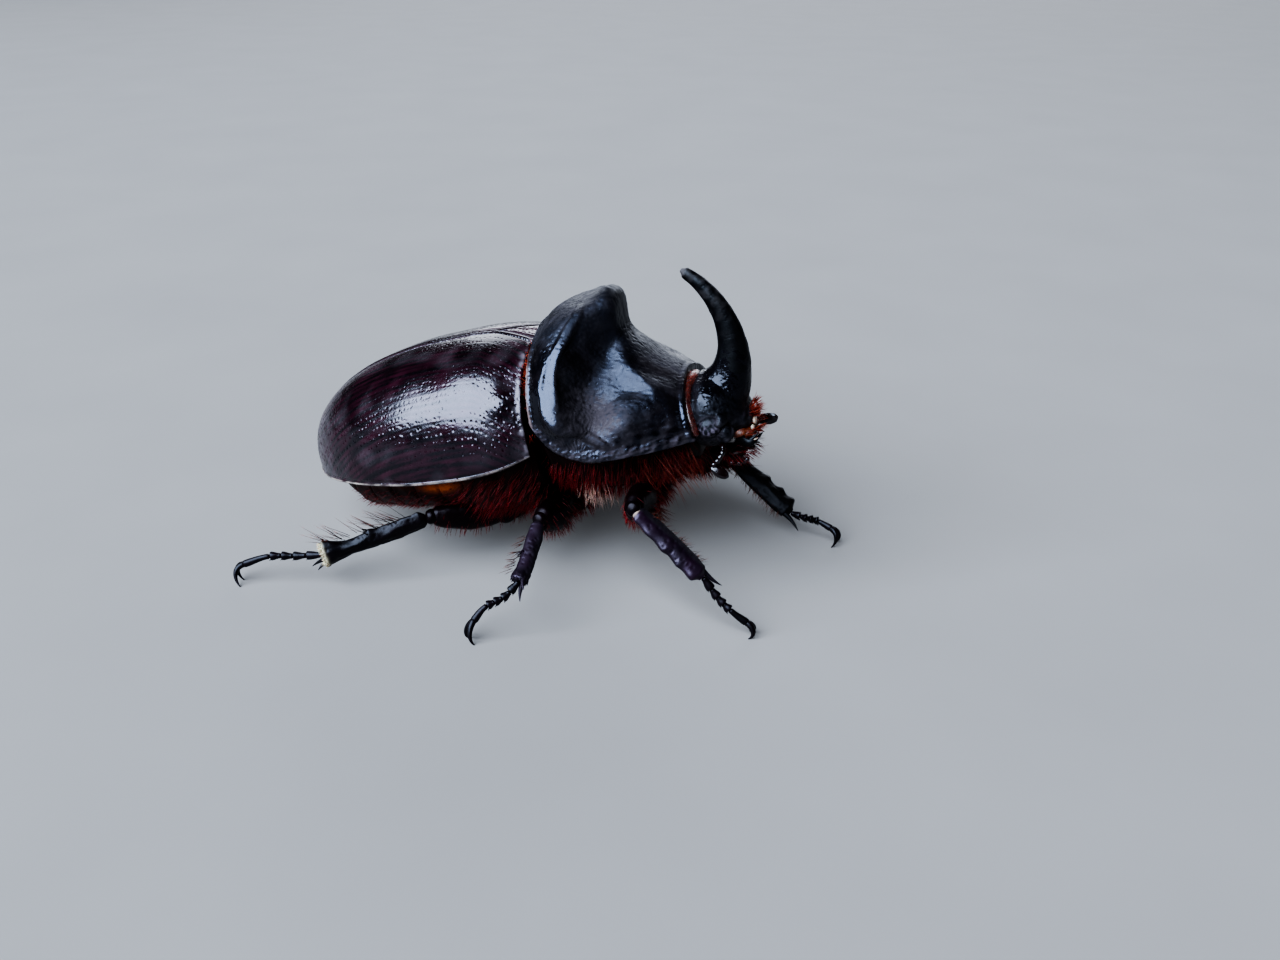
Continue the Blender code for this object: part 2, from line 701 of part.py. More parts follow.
def tibia(name, plan, leg, parent):
    knee = floor_point(plan["knee"], plan["sign"])
    ankle = floor_point(plan["ankle"], plan["sign"])
    start = toward(knee, ankle, 0.62)
    t = np.array([0, 0.08, 0.2, 0.36, 0.45, 0.5, 0.56, 0.68, 0.75, 0.81, 0.9, 0.97, 1.0])
    path = start + (ankle - start) * t[:, None]
    outer, inner, deep = tibia_outline(leg, t)
    outer[0] *= 0.6
    inner[0] *= 0.6
    deep[0] *= 0.6
    edge = plan.get("edge", (0, 0, 1))
    shape = sweep(path, outer, inner, deep, edge, TIBIA_SIDES)
    shin = new_object(name, loft(shape, "fan"), "legs", parent)
    along = (ankle - start) / np.linalg.norm(ankle - start)
    for k, lean in enumerate(((-0.25, 0.9), (0.25, 0.75))):
        if leg == "front" and k:
            continue
        across = np.cross(along, edge)
        spread = SPUR_SPREAD[leg]
        root = ankle - along * 0.5 - np.array(edge) * spread + across * lean[0]
        tip = root + along * (1.9 * lean[1]) - np.array(edge) * spread * 0.8 + across * lean[0]
        spur = spindle(root, tip, 0.27, 0.27, edge, sides=6, bulge=0.2, ends=0.9, steps=2)
        combine(shin, new_object(name + "_spur", loft(spur, "fan"), "legs", parent), "UNION")
    return shin


def tarsus(name, plan, parent):
    """Five foot segments in a row, the last one long and slim."""
    sign = plan["sign"]
    ankle = floor_point(plan["ankle"], sign)
    knuckles = [floor_point(p, sign) for p in plan["foot"]]
    start = toward(ankle, knuckles[0], GAP + 0.25)
    path = spline([start, *knuckles], 3)
    share = np.linspace(0, 1, len(path))
    beads = np.abs(np.sin(share * np.pi * 4.5 + 0.6))
    size = 0.3 + 0.14 * beads * (share < 0.75)
    size[0] *= 0.8
    shape = sweep(path, size, size, size * 0.85, (0.05, 0.1, 1), 7)
    return new_object(name, loft(shape, "fan"), "legs", parent)


def claws(name, plan, parent):
    """The pair of hooked claws, one bow that runs from tip to tip, with both tips flat on the floor."""
    sign = plan["sign"]
    knuckles = [floor_point(p, sign) for p in plan["foot"]]
    tip = floor_point(plan["claw"], sign)
    run = knuckles[-1] - knuckles[-2]
    forward = run / np.linalg.norm(run)
    across = np.cross(run, (0, 0, 1))
    across /= np.linalg.norm(across)
    root = knuckles[-1] + forward * (GAP + 0.25)
    bend = (root + tip) / 2 + forward * 0.3 + np.array((0, 0, 0.1))
    route = [tip - across * 0.65, bend - across * 0.5, root, bend + across * 0.5, tip + across * 0.65]
    path = spline(route, 2)
    share = np.abs(np.linspace(-1, 1, len(path)))
    size = 0.32 - 0.06 * share
    rings = sweep(path, size, size, size, forward, 5)
    rings[:, :, 2] = np.maximum(rings[:, :, 2], 0.0)
    return new_object(name, loft(rings, "fan"), "legs", parent)


def leg(name, plan, parent, hosts):
    """One leg, with hollows for its upper pieces in the belly they lie against."""
    kind = name.split("_")[0]
    new_object("coxa_" + name, loft(coxa_rings(plan, kind, 0.0), "fan"), "legs", parent)
    femur("femur_" + name, plan, kind, 0.0, parent)
    for host in hosts:
        socket = loft(coxa_rings(plan, kind, GAP), "fan")
        combine(host, new_object("socket_" + name, socket, "legs", parent), "DIFFERENCE")
        combine(host, femur("hollow_" + name, plan, kind, GAP, parent), "DIFFERENCE")
    tibia("tibia_" + name, plan, kind, parent)
    tarsus("tarsus_" + name, plan, parent)
    claws("claws_" + name, plan, parent)


# ---------------------------------------------------------------- the whole animal


def empty(name, location, pitch, parent):
    made = bpy.data.objects.new(name, None)
    made.location = [c * MM for c in location]
    made.rotation_euler = (pitch, 0, 0)
    made.parent = parent
    bpy.context.scene.collection.objects.link(made)
    return made


def main():
    clear_scene()
    stance = empty("stance", (-FLOOR_CENTRE[0], -FLOOR_CENTRE[1], 0), 0.0, None)
    trunk = empty("trunk", (0, 0, TRUNK_HEIGHT), -TRUNK_PITCH, stance)

    elytron("elytron_left", 1, trunk)
    elytron("elytron_right", -1, trunk)
    scutellum(trunk)
    thorax = trunk_piece("thorax_underside", *THORAX_RUN, trunk)
    abdomen = trunk_piece("abdomen", *ABDOMEN_RUN, trunk)
    trunk_piece("pygidium", *PYGIDIUM_RUN, trunk)
    pronotum(trunk)
    prothorax = prothorax_underside(trunk)

    skull = head(trunk)
    horn(trunk)
    socket = new_object("horn_socket", loft(horn_rings(GAP, 0.045, 0.52, 8, 12), "fan"), "horn", trunk)
    combine(skull, socket, "DIFFERENCE")
    for side, sign in (("left", 1), ("right", -1)):
        eye("eye_" + side, sign, 0.0, trunk)
        combine(skull, eye("eye_socket_" + side, sign, GAP, trunk), "DIFFERENCE")
        mandible("mandible_" + side, sign, trunk)
        palp("palp_" + side, sign, trunk)
        antenna(side, trunk)
    mouthparts(trunk)

    hosts = {"front": (prothorax,), "mid": (thorax,), "hind": (thorax, abdomen)}
    for name, plan in LEGS.items():
        leg(name, plan, stance, hosts[name.split("_")[0]])


main()
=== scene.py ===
"""The looks of the rhinoceros beetle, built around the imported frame.

Lengths are in millimetres and become metres when a mesh is made. Trunk points are (side, back, up)
about the trunk's own origin, leg points are (ahead, outward, up) on the floor. A small form is
written as height * bell(where, centre, width), on a distance or an angle that its name gives.
"""

import itertools
import math

import bpy
import numpy as np
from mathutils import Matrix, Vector


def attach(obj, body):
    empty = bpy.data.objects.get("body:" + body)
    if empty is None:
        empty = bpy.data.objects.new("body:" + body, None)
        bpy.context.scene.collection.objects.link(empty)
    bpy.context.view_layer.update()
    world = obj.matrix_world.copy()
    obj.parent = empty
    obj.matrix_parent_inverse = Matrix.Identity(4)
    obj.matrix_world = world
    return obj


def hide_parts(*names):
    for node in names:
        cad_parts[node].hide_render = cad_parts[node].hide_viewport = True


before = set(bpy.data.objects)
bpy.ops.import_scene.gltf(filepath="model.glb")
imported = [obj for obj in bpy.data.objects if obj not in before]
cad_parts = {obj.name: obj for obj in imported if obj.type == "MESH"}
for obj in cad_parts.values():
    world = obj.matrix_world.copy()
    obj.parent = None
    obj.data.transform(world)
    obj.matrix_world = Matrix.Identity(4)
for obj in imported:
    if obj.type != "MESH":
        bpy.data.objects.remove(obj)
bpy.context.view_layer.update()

MM = 0.001
TAU = 2 * math.pi
SIDES = (("left", 1), ("right", -1))

# Sizes shared with the solids

TRUNK_PITCH = math.radians(13.0)
PITCH_COS, PITCH_SIN = math.cos(TRUNK_PITCH), math.sin(TRUNK_PITCH)
TRUNK_HEIGHT = 9.8
FLOOR_SHIFT = 2.4

ELYTRA_FRONT = 3.3
ELYTRA_WIDEST = -2.0
ELYTRA_TIP = -19.08
ELYTRA_HALF_WIDTH = 9.1
ELYTRA_SHOULDER = 8.0
ELYTRA_HEIGHT = 8.84
ELYTRA_HIGHEST = -2.85
ELYTRA_SECTION = 2.3
ELYTRA_REAR_FULLNESS = 2.29
ELYTRA_FRONT_DROP = 1.46
SHOULDER_POWER = 2.4
MARGIN_RISE = 1.08
MARGIN_RISE_START = -16.8
MARGIN_RISE_END = 3.4
MARGIN_POWER = 5.4
WING_THICKNESS = 0.32
SCUTELLUM_THICKNESS = 0.5
SCUTELLUM_APEX = -0.3
SCUTELLUM_HALF_WIDTH = 1.7

PRONOTUM_REAR = 3.8
PRONOTUM_FRONT = 15.0
PRONOTUM_REAR_RADIUS = 9.1
PRONOTUM_MARGIN_RADIUS = 8.75
PRONOTUM_TAPER = 4.0
PRONOTUM_TAPER_POWER = 1.8
HUMP_RISE = 1.78
HUMP_RUN = 1.52
CREST_AHEAD = 9.6
CREST_LEAN = 0.67
CREST_SHARPNESS = 0.236
CREST_HALF_LENGTH = 1.1
CREST_STOPS = (0.3, 0.7)
FACE_DIP = 1.31
SHIELD_THICKNESS = 0.75
MEMBRANE_THICKNESS = 0.12
# Swellings and hollows: height, place ahead, reach ahead, angle from the top and reach in degrees.
HUMP_KNOBS = ((0.61, 9.5, 1.03, 0, 8), (0.2, 8.2, 1.3, 21, 7))
FACE_FORMS = ((1.25, 10.5, 1.6, 0, 35), (-0.9, 8.4, 1.5, 58, 14), (0.35, 12.3, 1.6, 46, 16))
SIDE_FORMS = (
    (0.8, 6.3, 1.1, 66, 9), (0.42, 10.4, 1.3, 70, 8), (-0.16, 12.6, 1.1, 33, 9),
    (0.34, 10.05, 0.6, 4, 15), (-0.22, 9.7, 0.8, 30, 8), (-0.22, 9.6, 0.9, 52, 7),
)
# The ways in which the two polished places on the pronotum's side face, in the row frame.
RIDGE_FACING = (0.78, 0.07, 0.62)
CHEEK_FACING = (0.79, 0.03, 0.61)

PROTHORAX_DEPTH = 4.5
THORAX_DEPTH = 5.3
ABDOMEN_DEPTH = 4.7
THORAX_REAR = -3.0
ABDOMEN_REAR = -14.3
PYGIDIUM_REAR = -17.3
WAIST = (ELYTRA_FRONT - 0.4, PRONOTUM_REAR + 0.15)
UNDER_WINGS = 1.0
UNDER_SHIELD = 1.05

# Each station of the head: ahead, half width, top and bottom.
HEAD_STATIONS = (
    (14.0, 2.7, 2.1, -1.8), (14.8, 3.45, 3.05, -2.35), (15.6, 3.55, 3.4, -2.45), (16.5, 3.3, 3.3, -2.35),
    (17.3, 2.75, 2.9, -1.95), (18.0, 2.1, 2.05, -1.55), (18.45, 1.65, 0.8, -1.25), (18.7, 1.15, 0.0, -0.95),
)
HORN_CURVE = ((16.2, 1.35), (19.45, 3.6), (18.55, 9.05), (15.45, 11.45))
HORN_TIP_RADIUS = 0.4
HORN_TAPER = 0.98
HORN_FLARE = 1.38
HORN_FLARE_RUN = 0.187
HORN_THICKEST = 2.2
HORN_FOOT = 0.13
EYE_CENTRE = (3.35, -16.1, 0.1)
EYE_SIZES = (0.70, 0.90, 0.78)

# Each antenna: the stalk's corners and the club's ends as leg points, then the step from leaf to
# leaf of the club, the way in which a leaf is wide and its half width.
ANTENNAE = {
    "right": (
        ((16.7, 3.0, -1.5), (16.85, 3.75, -1.85), (16.4, 4.0, -2.4), (15.85, 3.98, -2.85)),
        ((15.75, 3.95, -2.95), (16.9, 3.85, -3.9)), (-0.16, -0.01, 0.12), (0.5, -0.46, 0.61), 0.42,
    ),
    "left": (
        ((16.7, 3.0, -1.5), (17.2, 3.6, -2.1), (17.8, 3.4, -2.2), (18.2, 3.1, -2.2)),
        ((18.15, 3.1, -2.25), (19.95, 2.95, -2.15)), (0.20, 0.0, 0.03), (0, 0.6, 1), 0.50,
    ),
}

# Each leg: hip, knee, ankle, the foot's three knuckles, the point between its claws, and the way
# that the shin's toothed edge faces.
LEG_PLANS = {
    "front_right": (
        (11.0, 3.6, 7.2), (11.5, 9.9, 9.3), (16.9, 10.4, 4.7),
        ((18.1, 10.3, 3.0), (19.2, 10.2, 1.9), (20.3, 10.1, 1.1)), (20.5, 10.0, 0.18), (-1.0, 0.1, -0.3),
    ),
    "front_left": (
        (11.2, 3.5, 7.3), (15.4, 8.0, 6.1), (21.0, 6.3, 2.1),
        ((22.3, 6.1, 1.9), (23.4, 5.8, 1.9), (24.6, 5.5, 1.5)), (25.0, 5.4, 0.18), (1.0, -0.4, 0.5),
    ),
    "mid_right": (
        (4.6, 3.2, 5.4), (3.6, 8.3, 6.5), (3.8, 13.5, 4.1),
        ((2.9, 14.3, 3.1), (1.6, 15.0, 2.4), (0.9, 15.7, 1.5)), (0.8, 16.2, 0.18), (0.0, 1.0, 0.4),
    ),
    "mid_left": (
        (4.6, 3.2, 5.4), (3.2, 8.3, 6.6), (1.6, 13.3, 3.9),
        ((0.6, 14.2, 2.8), (-0.4, 15.0, 1.9), (-1.1, 15.8, 1.1)), (-1.3, 16.3, 0.18), (0.0, 1.0, 0.4),
    ),
    "hind_right": (
        (-1.0, 3.4, 4.0), (-6.1, 7.2, 4.9), (-13.4, 11.3, 2.6),
        ((-15.8, 11.6, 2.3), (-18.0, 12.1, 2.2), (-20.0, 12.7, 1.5)), (-20.1, 13.2, 0.18), (0.0, 0.0, 1.0),
    ),
    "hind_left": (
        (-1.0, 3.4, 4.0), (-5.6, 7.4, 5.0), (-12.2, 11.0, 2.6),
        ((-14.3, 11.6, 2.2), (-16.3, 12.2, 2.0), (-18.0, 12.9, 1.4)), (-18.3, 13.4, 0.18), (0.0, 0.0, 1.0),
    ),
}
COXA_SIZES = {"front": (1.45, 1.15), "mid": (1.4, 1.1), "hind": (1.5, 1.05)}
COXA_TO_MIDDLE = 0.45
FEMUR_HALF_WIDTH = {"front": 1.5, "mid": 1.45, "hind": 1.5 * 0.82}
TIBIA_HALF_WIDTH = {"front": 0.86, "mid": 0.58, "hind": 0.74}
TIBIA_FLARE = {"front": 0.0, "mid": 0.12, "hind": 0.42}
SPUR_REACH = {"front": 2.0, "mid": 1.9, "hind": 1.9}
SPUR_SPREAD = {"front": 0.5, "mid": 0.3, "hind": 0.5}
TOOTH_PLACES = (0.50, 0.72, 0.91)
TOOTH_HEIGHT = {"front_right": 0.22, "front_left": 0.38}
# Legs whose shins take the darker shell: the hind legs in their own colour, and the far front leg as painted
# shade.
SHADED_AND_DARK_LEGS = ("front_left", "hind_right", "hind_left")
FOOT_JOINTS = (0.0, 0.22, 0.38, 0.52, 0.65, 1.0)

CAMERA_PLACE = (-83.26, -29.28, 48.76)
CAMERA_WAY = (0.8682, 0.2326, -0.4384)
CAMERA_SENSOR, CAMERA_LENS = 36.0, 33.159375
FLOOR_HALF_SIZE = 4000.0
LIGHT_TARGET = (0, 0, 8)
# Each light: turn from ahead of the beetle towards its left, lift, distance, size, power, colour.
LIGHTS = {
    "sky": (-121, 43, 1500, (2000, 1350), 160.0, (0.75, 0.865, 1.0)),
    "front_fill": (-20, 30, 900, (300, 200), 0.3, (0.80, 0.90, 1.0)),
    "far_fill": (96, 20, 1300, (1300, 700), 10.0, (0.86, 0.91, 1.0)),
}

# Small maths


def smooth(low, high, value):
    """0 below low, 1 above high, and a soft step between."""
    x = np.clip((value - low) / (high - low), 0.0, 1.0)
    return x * x * (3 - 2 * x)


def held(values):
    """The values, kept within 0 and 1."""
    return np.clip(values, 0, 1)


def bell(value, centre, width):
    return np.exp(-(((value - centre) / width) ** 2))


def unit(vectors):
    length = np.linalg.norm(vectors, axis=-1, keepdims=True)
    return vectors / np.maximum(length, 1e-9)


def turns(count):
    """This many angles, evenly round a circle."""
    return TAU * np.arange(count) / count


def square_to(way, along):
    """The part of a direction that is square to another one."""
    return unit(way - along * (along @ way))


def bezier(corners, t):
    """A point on the cubic curve with these four corners, at each t."""
    p = np.array(corners, float)
    t = np.asarray(t, float)[..., None]
    s = 1 - t
    return s**3 * p[0] + 3 * s**2 * t * p[1] + 3 * s * t**2 * p[2] + t**3 * p[3]


def spline(points, per_span):
    """A smooth curve through the points, with per_span steps between each pair."""
    p = np.array(points, float)
    p = np.concatenate([2 * p[:1] - p[1:2], p, 2 * p[-1:] - p[-2:-1]])
    out = []
    for i in range(1, len(p) - 2):
        for t in np.arange(per_span) / per_span:
            a = 2 * p[i] + (p[i + 1] - p[i - 1]) * t
            b = (2 * p[i - 1] - 5 * p[i] + 4 * p[i + 1] - p[i + 2]) * t**2
            c = (3 * p[i] - p[i - 1] - 3 * p[i + 1] + p[i + 2]) * t**3
            out.append((a + b + c) / 2)
    out.append(p[-2])
    return np.array(out)


def trunk(points):
    """Trunk points as points of the row frame."""
    side, back, up = np.moveaxis(np.asarray(points, float), -1, 0)
    row_back = back * PITCH_COS + up * PITCH_SIN + FLOOR_SHIFT
    return np.stack([side, row_back, TRUNK_HEIGHT - back * PITCH_SIN + up * PITCH_COS], axis=-1)


def foot(point, sign):
    """An (ahead, outward, up) leg point as a point of the row frame."""
    return np.array((sign * point[1], FLOOR_SHIFT - point[0], point[2]), float)


def around(radius, angle, ahead):
    """Trunk points at a radius and an angle from straight up."""
    back = np.broadcast_to(-ahead, angle.shape)
    return np.stack([radius * np.sin(angle), back, radius * np.cos(angle)], axis=-1)


def ripple(points, length, seed):
    """Soft noise from -1 to 1: sine waves in many directions, about this long."""
    random = np.random.default_rng(seed)
    total = np.zeros(points.shape[:-1])
    for _ in range(9):
        way = random.normal(size=3)
        way *= TAU / length * random.uniform(0.6, 1.5) / np.linalg.norm(way)
        total += np.sin(points @ way + random.uniform(0, TAU))
    return total / 4.0


def cell_random(cells, seed):
    """Four random numbers for each whole-number cell, by an integer hash of the cell."""
    c = cells.astype(np.int64).astype(np.uint64)
    h = c[..., 0] * np.uint64(73856093) ^ c[..., 1] * np.uint64(19349663)
    h ^= c[..., 2] * np.uint64(83492791) ^ np.uint64(seed * 2654435761)
    out = []
    for _ in range(4):
        h ^= h >> np.uint64(33)
        h *= np.uint64(0xFF51AFD7ED558CCD)
        h ^= h >> np.uint64(29)
        out.append((h >> np.uint64(40)).astype(float) / 2.0**24)
    return np.stack(out, axis=-1)


def pits(points, cell, radius, seed, keep=1.0, loose=(0.8, 0.8, 0.8)):
    """How deep each point lies in scattered round pits, 0 to 1. A third axis of 0 keeps them flat."""
    flat = points.reshape(-1, 3)
    base = np.floor(flat / cell)
    depth = np.zeros(len(flat))
    near = (-1, 0, 1)
    solid = np.ptp(flat[:, 2]) > 0
    for step in itertools.product(near, near, near if solid else (0,)):
        corner = base + step
        random = cell_random(corner, seed)
        centre = (corner + 0.5 + (random[:, :3] - 0.5) * loose) * cell
        centre[:, 2] *= solid
        off = np.linalg.norm(flat - centre, axis=1) / radius
        depth = np.maximum(depth, held(1 - off**2) * (random[:, 3] < keep))
    return depth.reshape(points.shape[:-1])


def arc(grid, axis):
    """Distance along the grid from its first row or column."""
    step = np.linalg.norm(np.diff(grid, axis=axis), axis=-1)
    pad = [(0, 0), (0, 0)]
    pad[axis] = (1, 0)
    return np.pad(np.cumsum(step, axis=axis), pad)


# Meshes


def make(name, points, faces, material, marks=None, turn=True):
    """An object from points in millimetres of the row frame and a list of face arrays."""
    points = np.asarray(points, float).reshape(-1, 3)
    mesh = bpy.data.meshes.new(name)
    sizes = np.concatenate([np.full(len(f), f.shape[1]) for f in faces])
    corners = np.concatenate([f.reshape(-1) for f in faces])
    mesh.vertices.add(len(points))
    mesh.vertices.foreach_set("co", (points * MM).reshape(-1))
    mesh.loops.add(len(corners))
    mesh.loops.foreach_set("vertex_index", corners.astype(np.int32))
    mesh.polygons.add(len(sizes))
    mesh.polygons.foreach_set("loop_start", np.concatenate([[0], np.cumsum(sizes)[:-1]]))
    mesh.update(calc_edges=True)
    mesh.validate()
    mesh.shade_smooth()
    for mark, values in (marks or {}).items():
        layer = mesh.attributes.new(mark, "FLOAT", "POINT")
        layer.data.foreach_set("value", np.asarray(values, np.float32).reshape(-1))
    if turn and signed_volume(points, faces) < 0:
        mesh.flip_normals()
    mesh.materials.append(material)
    made = bpy.data.objects.new(name, mesh)
    bpy.context.scene.collection.objects.link(made)
    return made


def signed_volume(points, faces):
    total = 0.0
    for f in faces:
        for k in range(1, f.shape[1] - 1):
            a, b, c = points[f[:, 0]], points[f[:, k]], points[f[:, k + 1]]
            total += np.einsum("ij,ij->i", a, np.cross(b, c)).sum()
    return total


def finish(piece, slot, *nodes):
    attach(piece, "root")
    if nodes:
        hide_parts(*nodes)


def grid_marks(points, **fields):
    """Marks from fields on a plate's outer grid, which comes first among its points, and 0 elsewhere."""
    marks = {}
    for label, values in fields.items():
        marks[label] = np.zeros(len(points))
        marks[label][: values.size] = held(values).reshape(-1)
    return marks


def grid_quads(rows, columns, wrap=False):
    number = np.arange(rows * columns).reshape(rows, columns)
    if wrap:
        number = np.hstack([number, number[:, :1]])
    corners = [number[:-1, :-1], number[:-1, 1:], number[1:, 1:], number[1:, :-1]]
    return np.stack(corners, axis=-1).reshape(-1, 4)


def loft(rings):
    """A closed skin over closed rings, with a fan at both ends."""
    rings = np.asarray(rings, float)
    count, size = rings.shape[:2]
    points = np.vstack([rings.reshape(-1, 3), rings[0].mean(axis=0), rings[-1].mean(axis=0)])
    ring = np.arange(size)
    following = (ring + 1) % size
    first = np.stack([following, ring, np.full(size, count * size)], axis=1)
    last = (count - 1) * size
    end = np.stack([ring + last, following + last, np.full(size, count * size + 1)], axis=1)
    return points, [grid_quads(count, size, wrap=True), np.vstack([first, end])]


def join(shapes, place=np.asarray):
    """Several (points, faces) as one, each set of points put in its place."""
    points, quads, triangles, at = [], [], [], 0
    for p, faces in shapes:
        points.append(place(p).reshape(-1, 3))
        for f in faces:
            (quads if f.shape[1] == 4 else triangles).append(f + at)
        at += len(points[-1])
    return np.vstack(points), [np.vstack(group) for group in (quads, triangles) if group]


def grid_normals(grid, row, column):
    """The normals of a grid, on the side that looks up at this row and column."""
    normals = unit(np.cross(np.gradient(grid, axis=0), np.gradient(grid, axis=1)))
    return -normals if normals[row, column, 2] < 0 else normals


def perimeter(rows, columns):
    """The border of a grid as (row, column) pairs, without repeating the first."""
    top = [(0, c) for c in range(columns - 1)]
    right = [(r, columns - 1) for r in range(rows - 1)]
    bottom = [(rows - 1, c) for c in range(columns - 1, 0, -1)]
    left = [(r, 0) for r in range(rows - 1, 0, -1)]
    return np.array(top + right + bottom + left)


def shell(outer, base, normals, thickness):
    """A closed plate: a fine outer grid, a rounded rim and an inner side four times as coarse."""
    rows, columns = outer.shape[:2]
    edge = perimeter(rows, columns)
    at_edge = tuple(edge.T)
    inward = edge + np.sign(np.array([(rows - 1) / 2, (columns - 1) / 2]) - edge).astype(int)
    away = unit(outer[at_edge] - outer[tuple(inward.T)])
    under = base[at_edge] - normals[at_edge] * thickness
    middle = (outer[at_edge] + under) / 2 + away * thickness * 0.4
    inner = (base - normals * thickness)[::4, ::4]
    count, rim, small = rows * columns, len(edge), inner.shape[:2]
    points = np.vstack([outer.reshape(-1, 3), middle, under, inner.reshape(-1, 3)])
    fine = edge[:, 0] * columns + edge[:, 1]
    upper = count + np.arange(rim)
    lower = upper + rim
    start = count + 2 * rim
    quads = [
        grid_quads(rows, columns),
        np.stack([np.roll(fine, -1), fine, upper, np.roll(upper, -1)], axis=1),
        np.stack([np.roll(upper, -1), upper, lower, np.roll(lower, -1)], axis=1),
        grid_quads(*small)[:, ::-1] + start,
    ]
    coarse = perimeter(*small)
    coarse = start + coarse[:, 0] * small[1] + coarse[:, 1]
    every = np.arange(0, rim, 4)
    triangles = [
        np.stack([lower[(every + k + 1) % rim], coarse, lower[every + k]], axis=1) for k in range(4)
    ]
    triangles.append(np.stack([coarse, np.roll(coarse, -1), lower[(every + 4) % rim]], axis=1))
    return points, [np.vstack(quads), np.vstack(triangles)]


def sweep(path, wide_plus, wide_minus, deep, side, sides, keel=1.0):
    """Rings along a path. A keel above 1 makes the two edges sharper."""
    path = np.asarray(path, float)
    ahead = unit(np.gradient(path, axis=0))
    side = np.asarray(side, float)
    across = unit(side - ahead * (ahead @ side)[:, None])
    up = np.cross(across, ahead)
    angle = turns(sides)
    cosine, sine = np.cos(angle), np.sin(angle)
    rise = np.sign(sine) * np.abs(sine) ** keel
    wide = np.where(cosine > 0, np.reshape(wide_plus, (-1, 1)), np.reshape(wide_minus, (-1, 1)))
    high = np.reshape(deep, (-1, 1)) * rise
    return path[:, None] + across[:, None] * (wide * cosine)[..., None] + up[:, None] * high[..., None]


def round_sweep(path, size, side, sides):
    return sweep(path, size, size, size, side, sides)


def spindle(start, end, wide, deep, side, sides, bulge, ends, steps, keel=1.0):
    """Rings of a limb piece that is thickest at bulge, part of the way along, and rounded at its ends."""
    start, end = np.array(start, float), np.array(end, float)
    t = (1 - np.cos(np.pi * np.linspace(0, 1, steps + 1))) / 2
    body = np.where(t < bulge, t / bulge, (1 - t) / (1 - bulge))
    size = ends + (1 - ends) * np.sin(body * np.pi / 2)
    size = size * np.sqrt(held(np.minimum(t, 1 - t) / 0.1) + 0.002)
    return sweep(start + (end - start) * t[:, None], wide * size, wide * size, deep * size, side, sides, keel)


def spine(root, tip, radius, bow=(0, 0, 0), sides=8, steps=8, point=0.12):
    """A curved, tapering spine."""
    t = np.linspace(0, 1, steps + 1)[:, None]
    root, tip = np.array(root, float), np.array(tip, float)
    path = root + (tip - root) * t + np.array(bow, float) * (4 * t * (1 - t))
    size = radius * (point + (1 - point) * (1 - t[:, 0] ** 1.3))
    size[-1] *= 0.4
    guide = (0.3, 0.5, 0.8) if abs(unit(tip - root)[0]) < 0.8 else (0.1, 1.0, 0.2)
    return loft(round_sweep(path, size, guide, sides))


def ellipsoid(centre, sizes, steps, sides, gap):
    """Rings around the side axis, starting this angle from the poles."""
    turn = np.linspace(gap, math.pi - gap, steps)[:, None]
    angle = turns(sides)
    parts = [np.cos(turn) * np.ones(sides), np.sin(turn) * np.cos(angle), np.sin(turn) * np.sin(angle)]
    return np.stack(parts, axis=-1) * np.array(sizes, float) + np.array(centre, float)


def lump(centre, sizes, steps=14, sides=20):
    return loft(ellipsoid(centre, sizes, steps, sides, 0.02))


def roughened(rings, dents):
    """The rings with each point moved in towards the middle of its ring by its dent."""
    return rings - unit(rings - rings.mean(axis=1, keepdims=True)) * dents[..., None]


# Materials


class Nodes:
    """Short ways to add nodes to one tree. A value is a number, a colour or another node's socket."""

    def __init__(self, tree):
        self.tree = tree

    def feed(self, socket, value):
        if isinstance(value, bpy.types.NodeSocket):
            self.tree.links.new(value, socket)
        else:
            socket.default_value = (*value, 1.0) if isinstance(value, tuple) else value

    def add(self, kind, values=None, **settings):
        made = self.tree.nodes.new("ShaderNode" + kind)
        for key, value in settings.items():
            setattr(made, key, value)
        for key, value in (values or {}).items():
            self.feed(made.inputs[key], value)
        return made

    def place(self):
        return self.add("TexCoord").outputs["Object"]

    def noise(self, scale, detail=4.0):
        """Noise in the object's own coordinates, scale in waves for each millimetre."""
        values = {"Vector": self.place(), "Scale": scale / MM, "Detail": detail}
        return self.add("TexNoise", values).outputs["Fac"]

    def ramp(self, value, low, high):
        """0 where the value is below low, 1 above high."""
        return self.add("MapRange", {"Value": value, "From Min": low, "From Max": high}).outputs["Result"]

    def mark(self, name):
        return self.add("Attribute", attribute_name=name).outputs["Fac"]

    def mix(self, factor, first, second):
        """A colour between two."""
        return self.add("Mix", {0: factor, 6: first, 7: second}, data_type="RGBA").outputs[2]

    def maths(self, operation, first, second):
        return self.add("Math", {0: first, 1: second}, operation=operation).outputs[0]

    def times(self, first, second):
        return self.maths("MULTIPLY", first, second)

    def plus(self, first, second):
        return self.maths("ADD", first, second)


class Look(Nodes):
    """A new material and its Principled shader."""

    def __init__(self, name):
        self.material = bpy.data.materials.new(name)
        self.material.use_nodes = True
        super().__init__(self.material.node_tree)

    def shade(self, values):
        for key, value in values.items():
            self.feed(self.tree.nodes["Principled BSDF"].inputs[key], value)
        return self.material

    def bump(self, relief, depth, strength=1.0):
        """Normals over a relief this deep in millimetres."""
        values = {"Strength": strength, "Distance": depth * MM, "Height": relief}
        return self.add("Bump", values).outputs["Normal"]


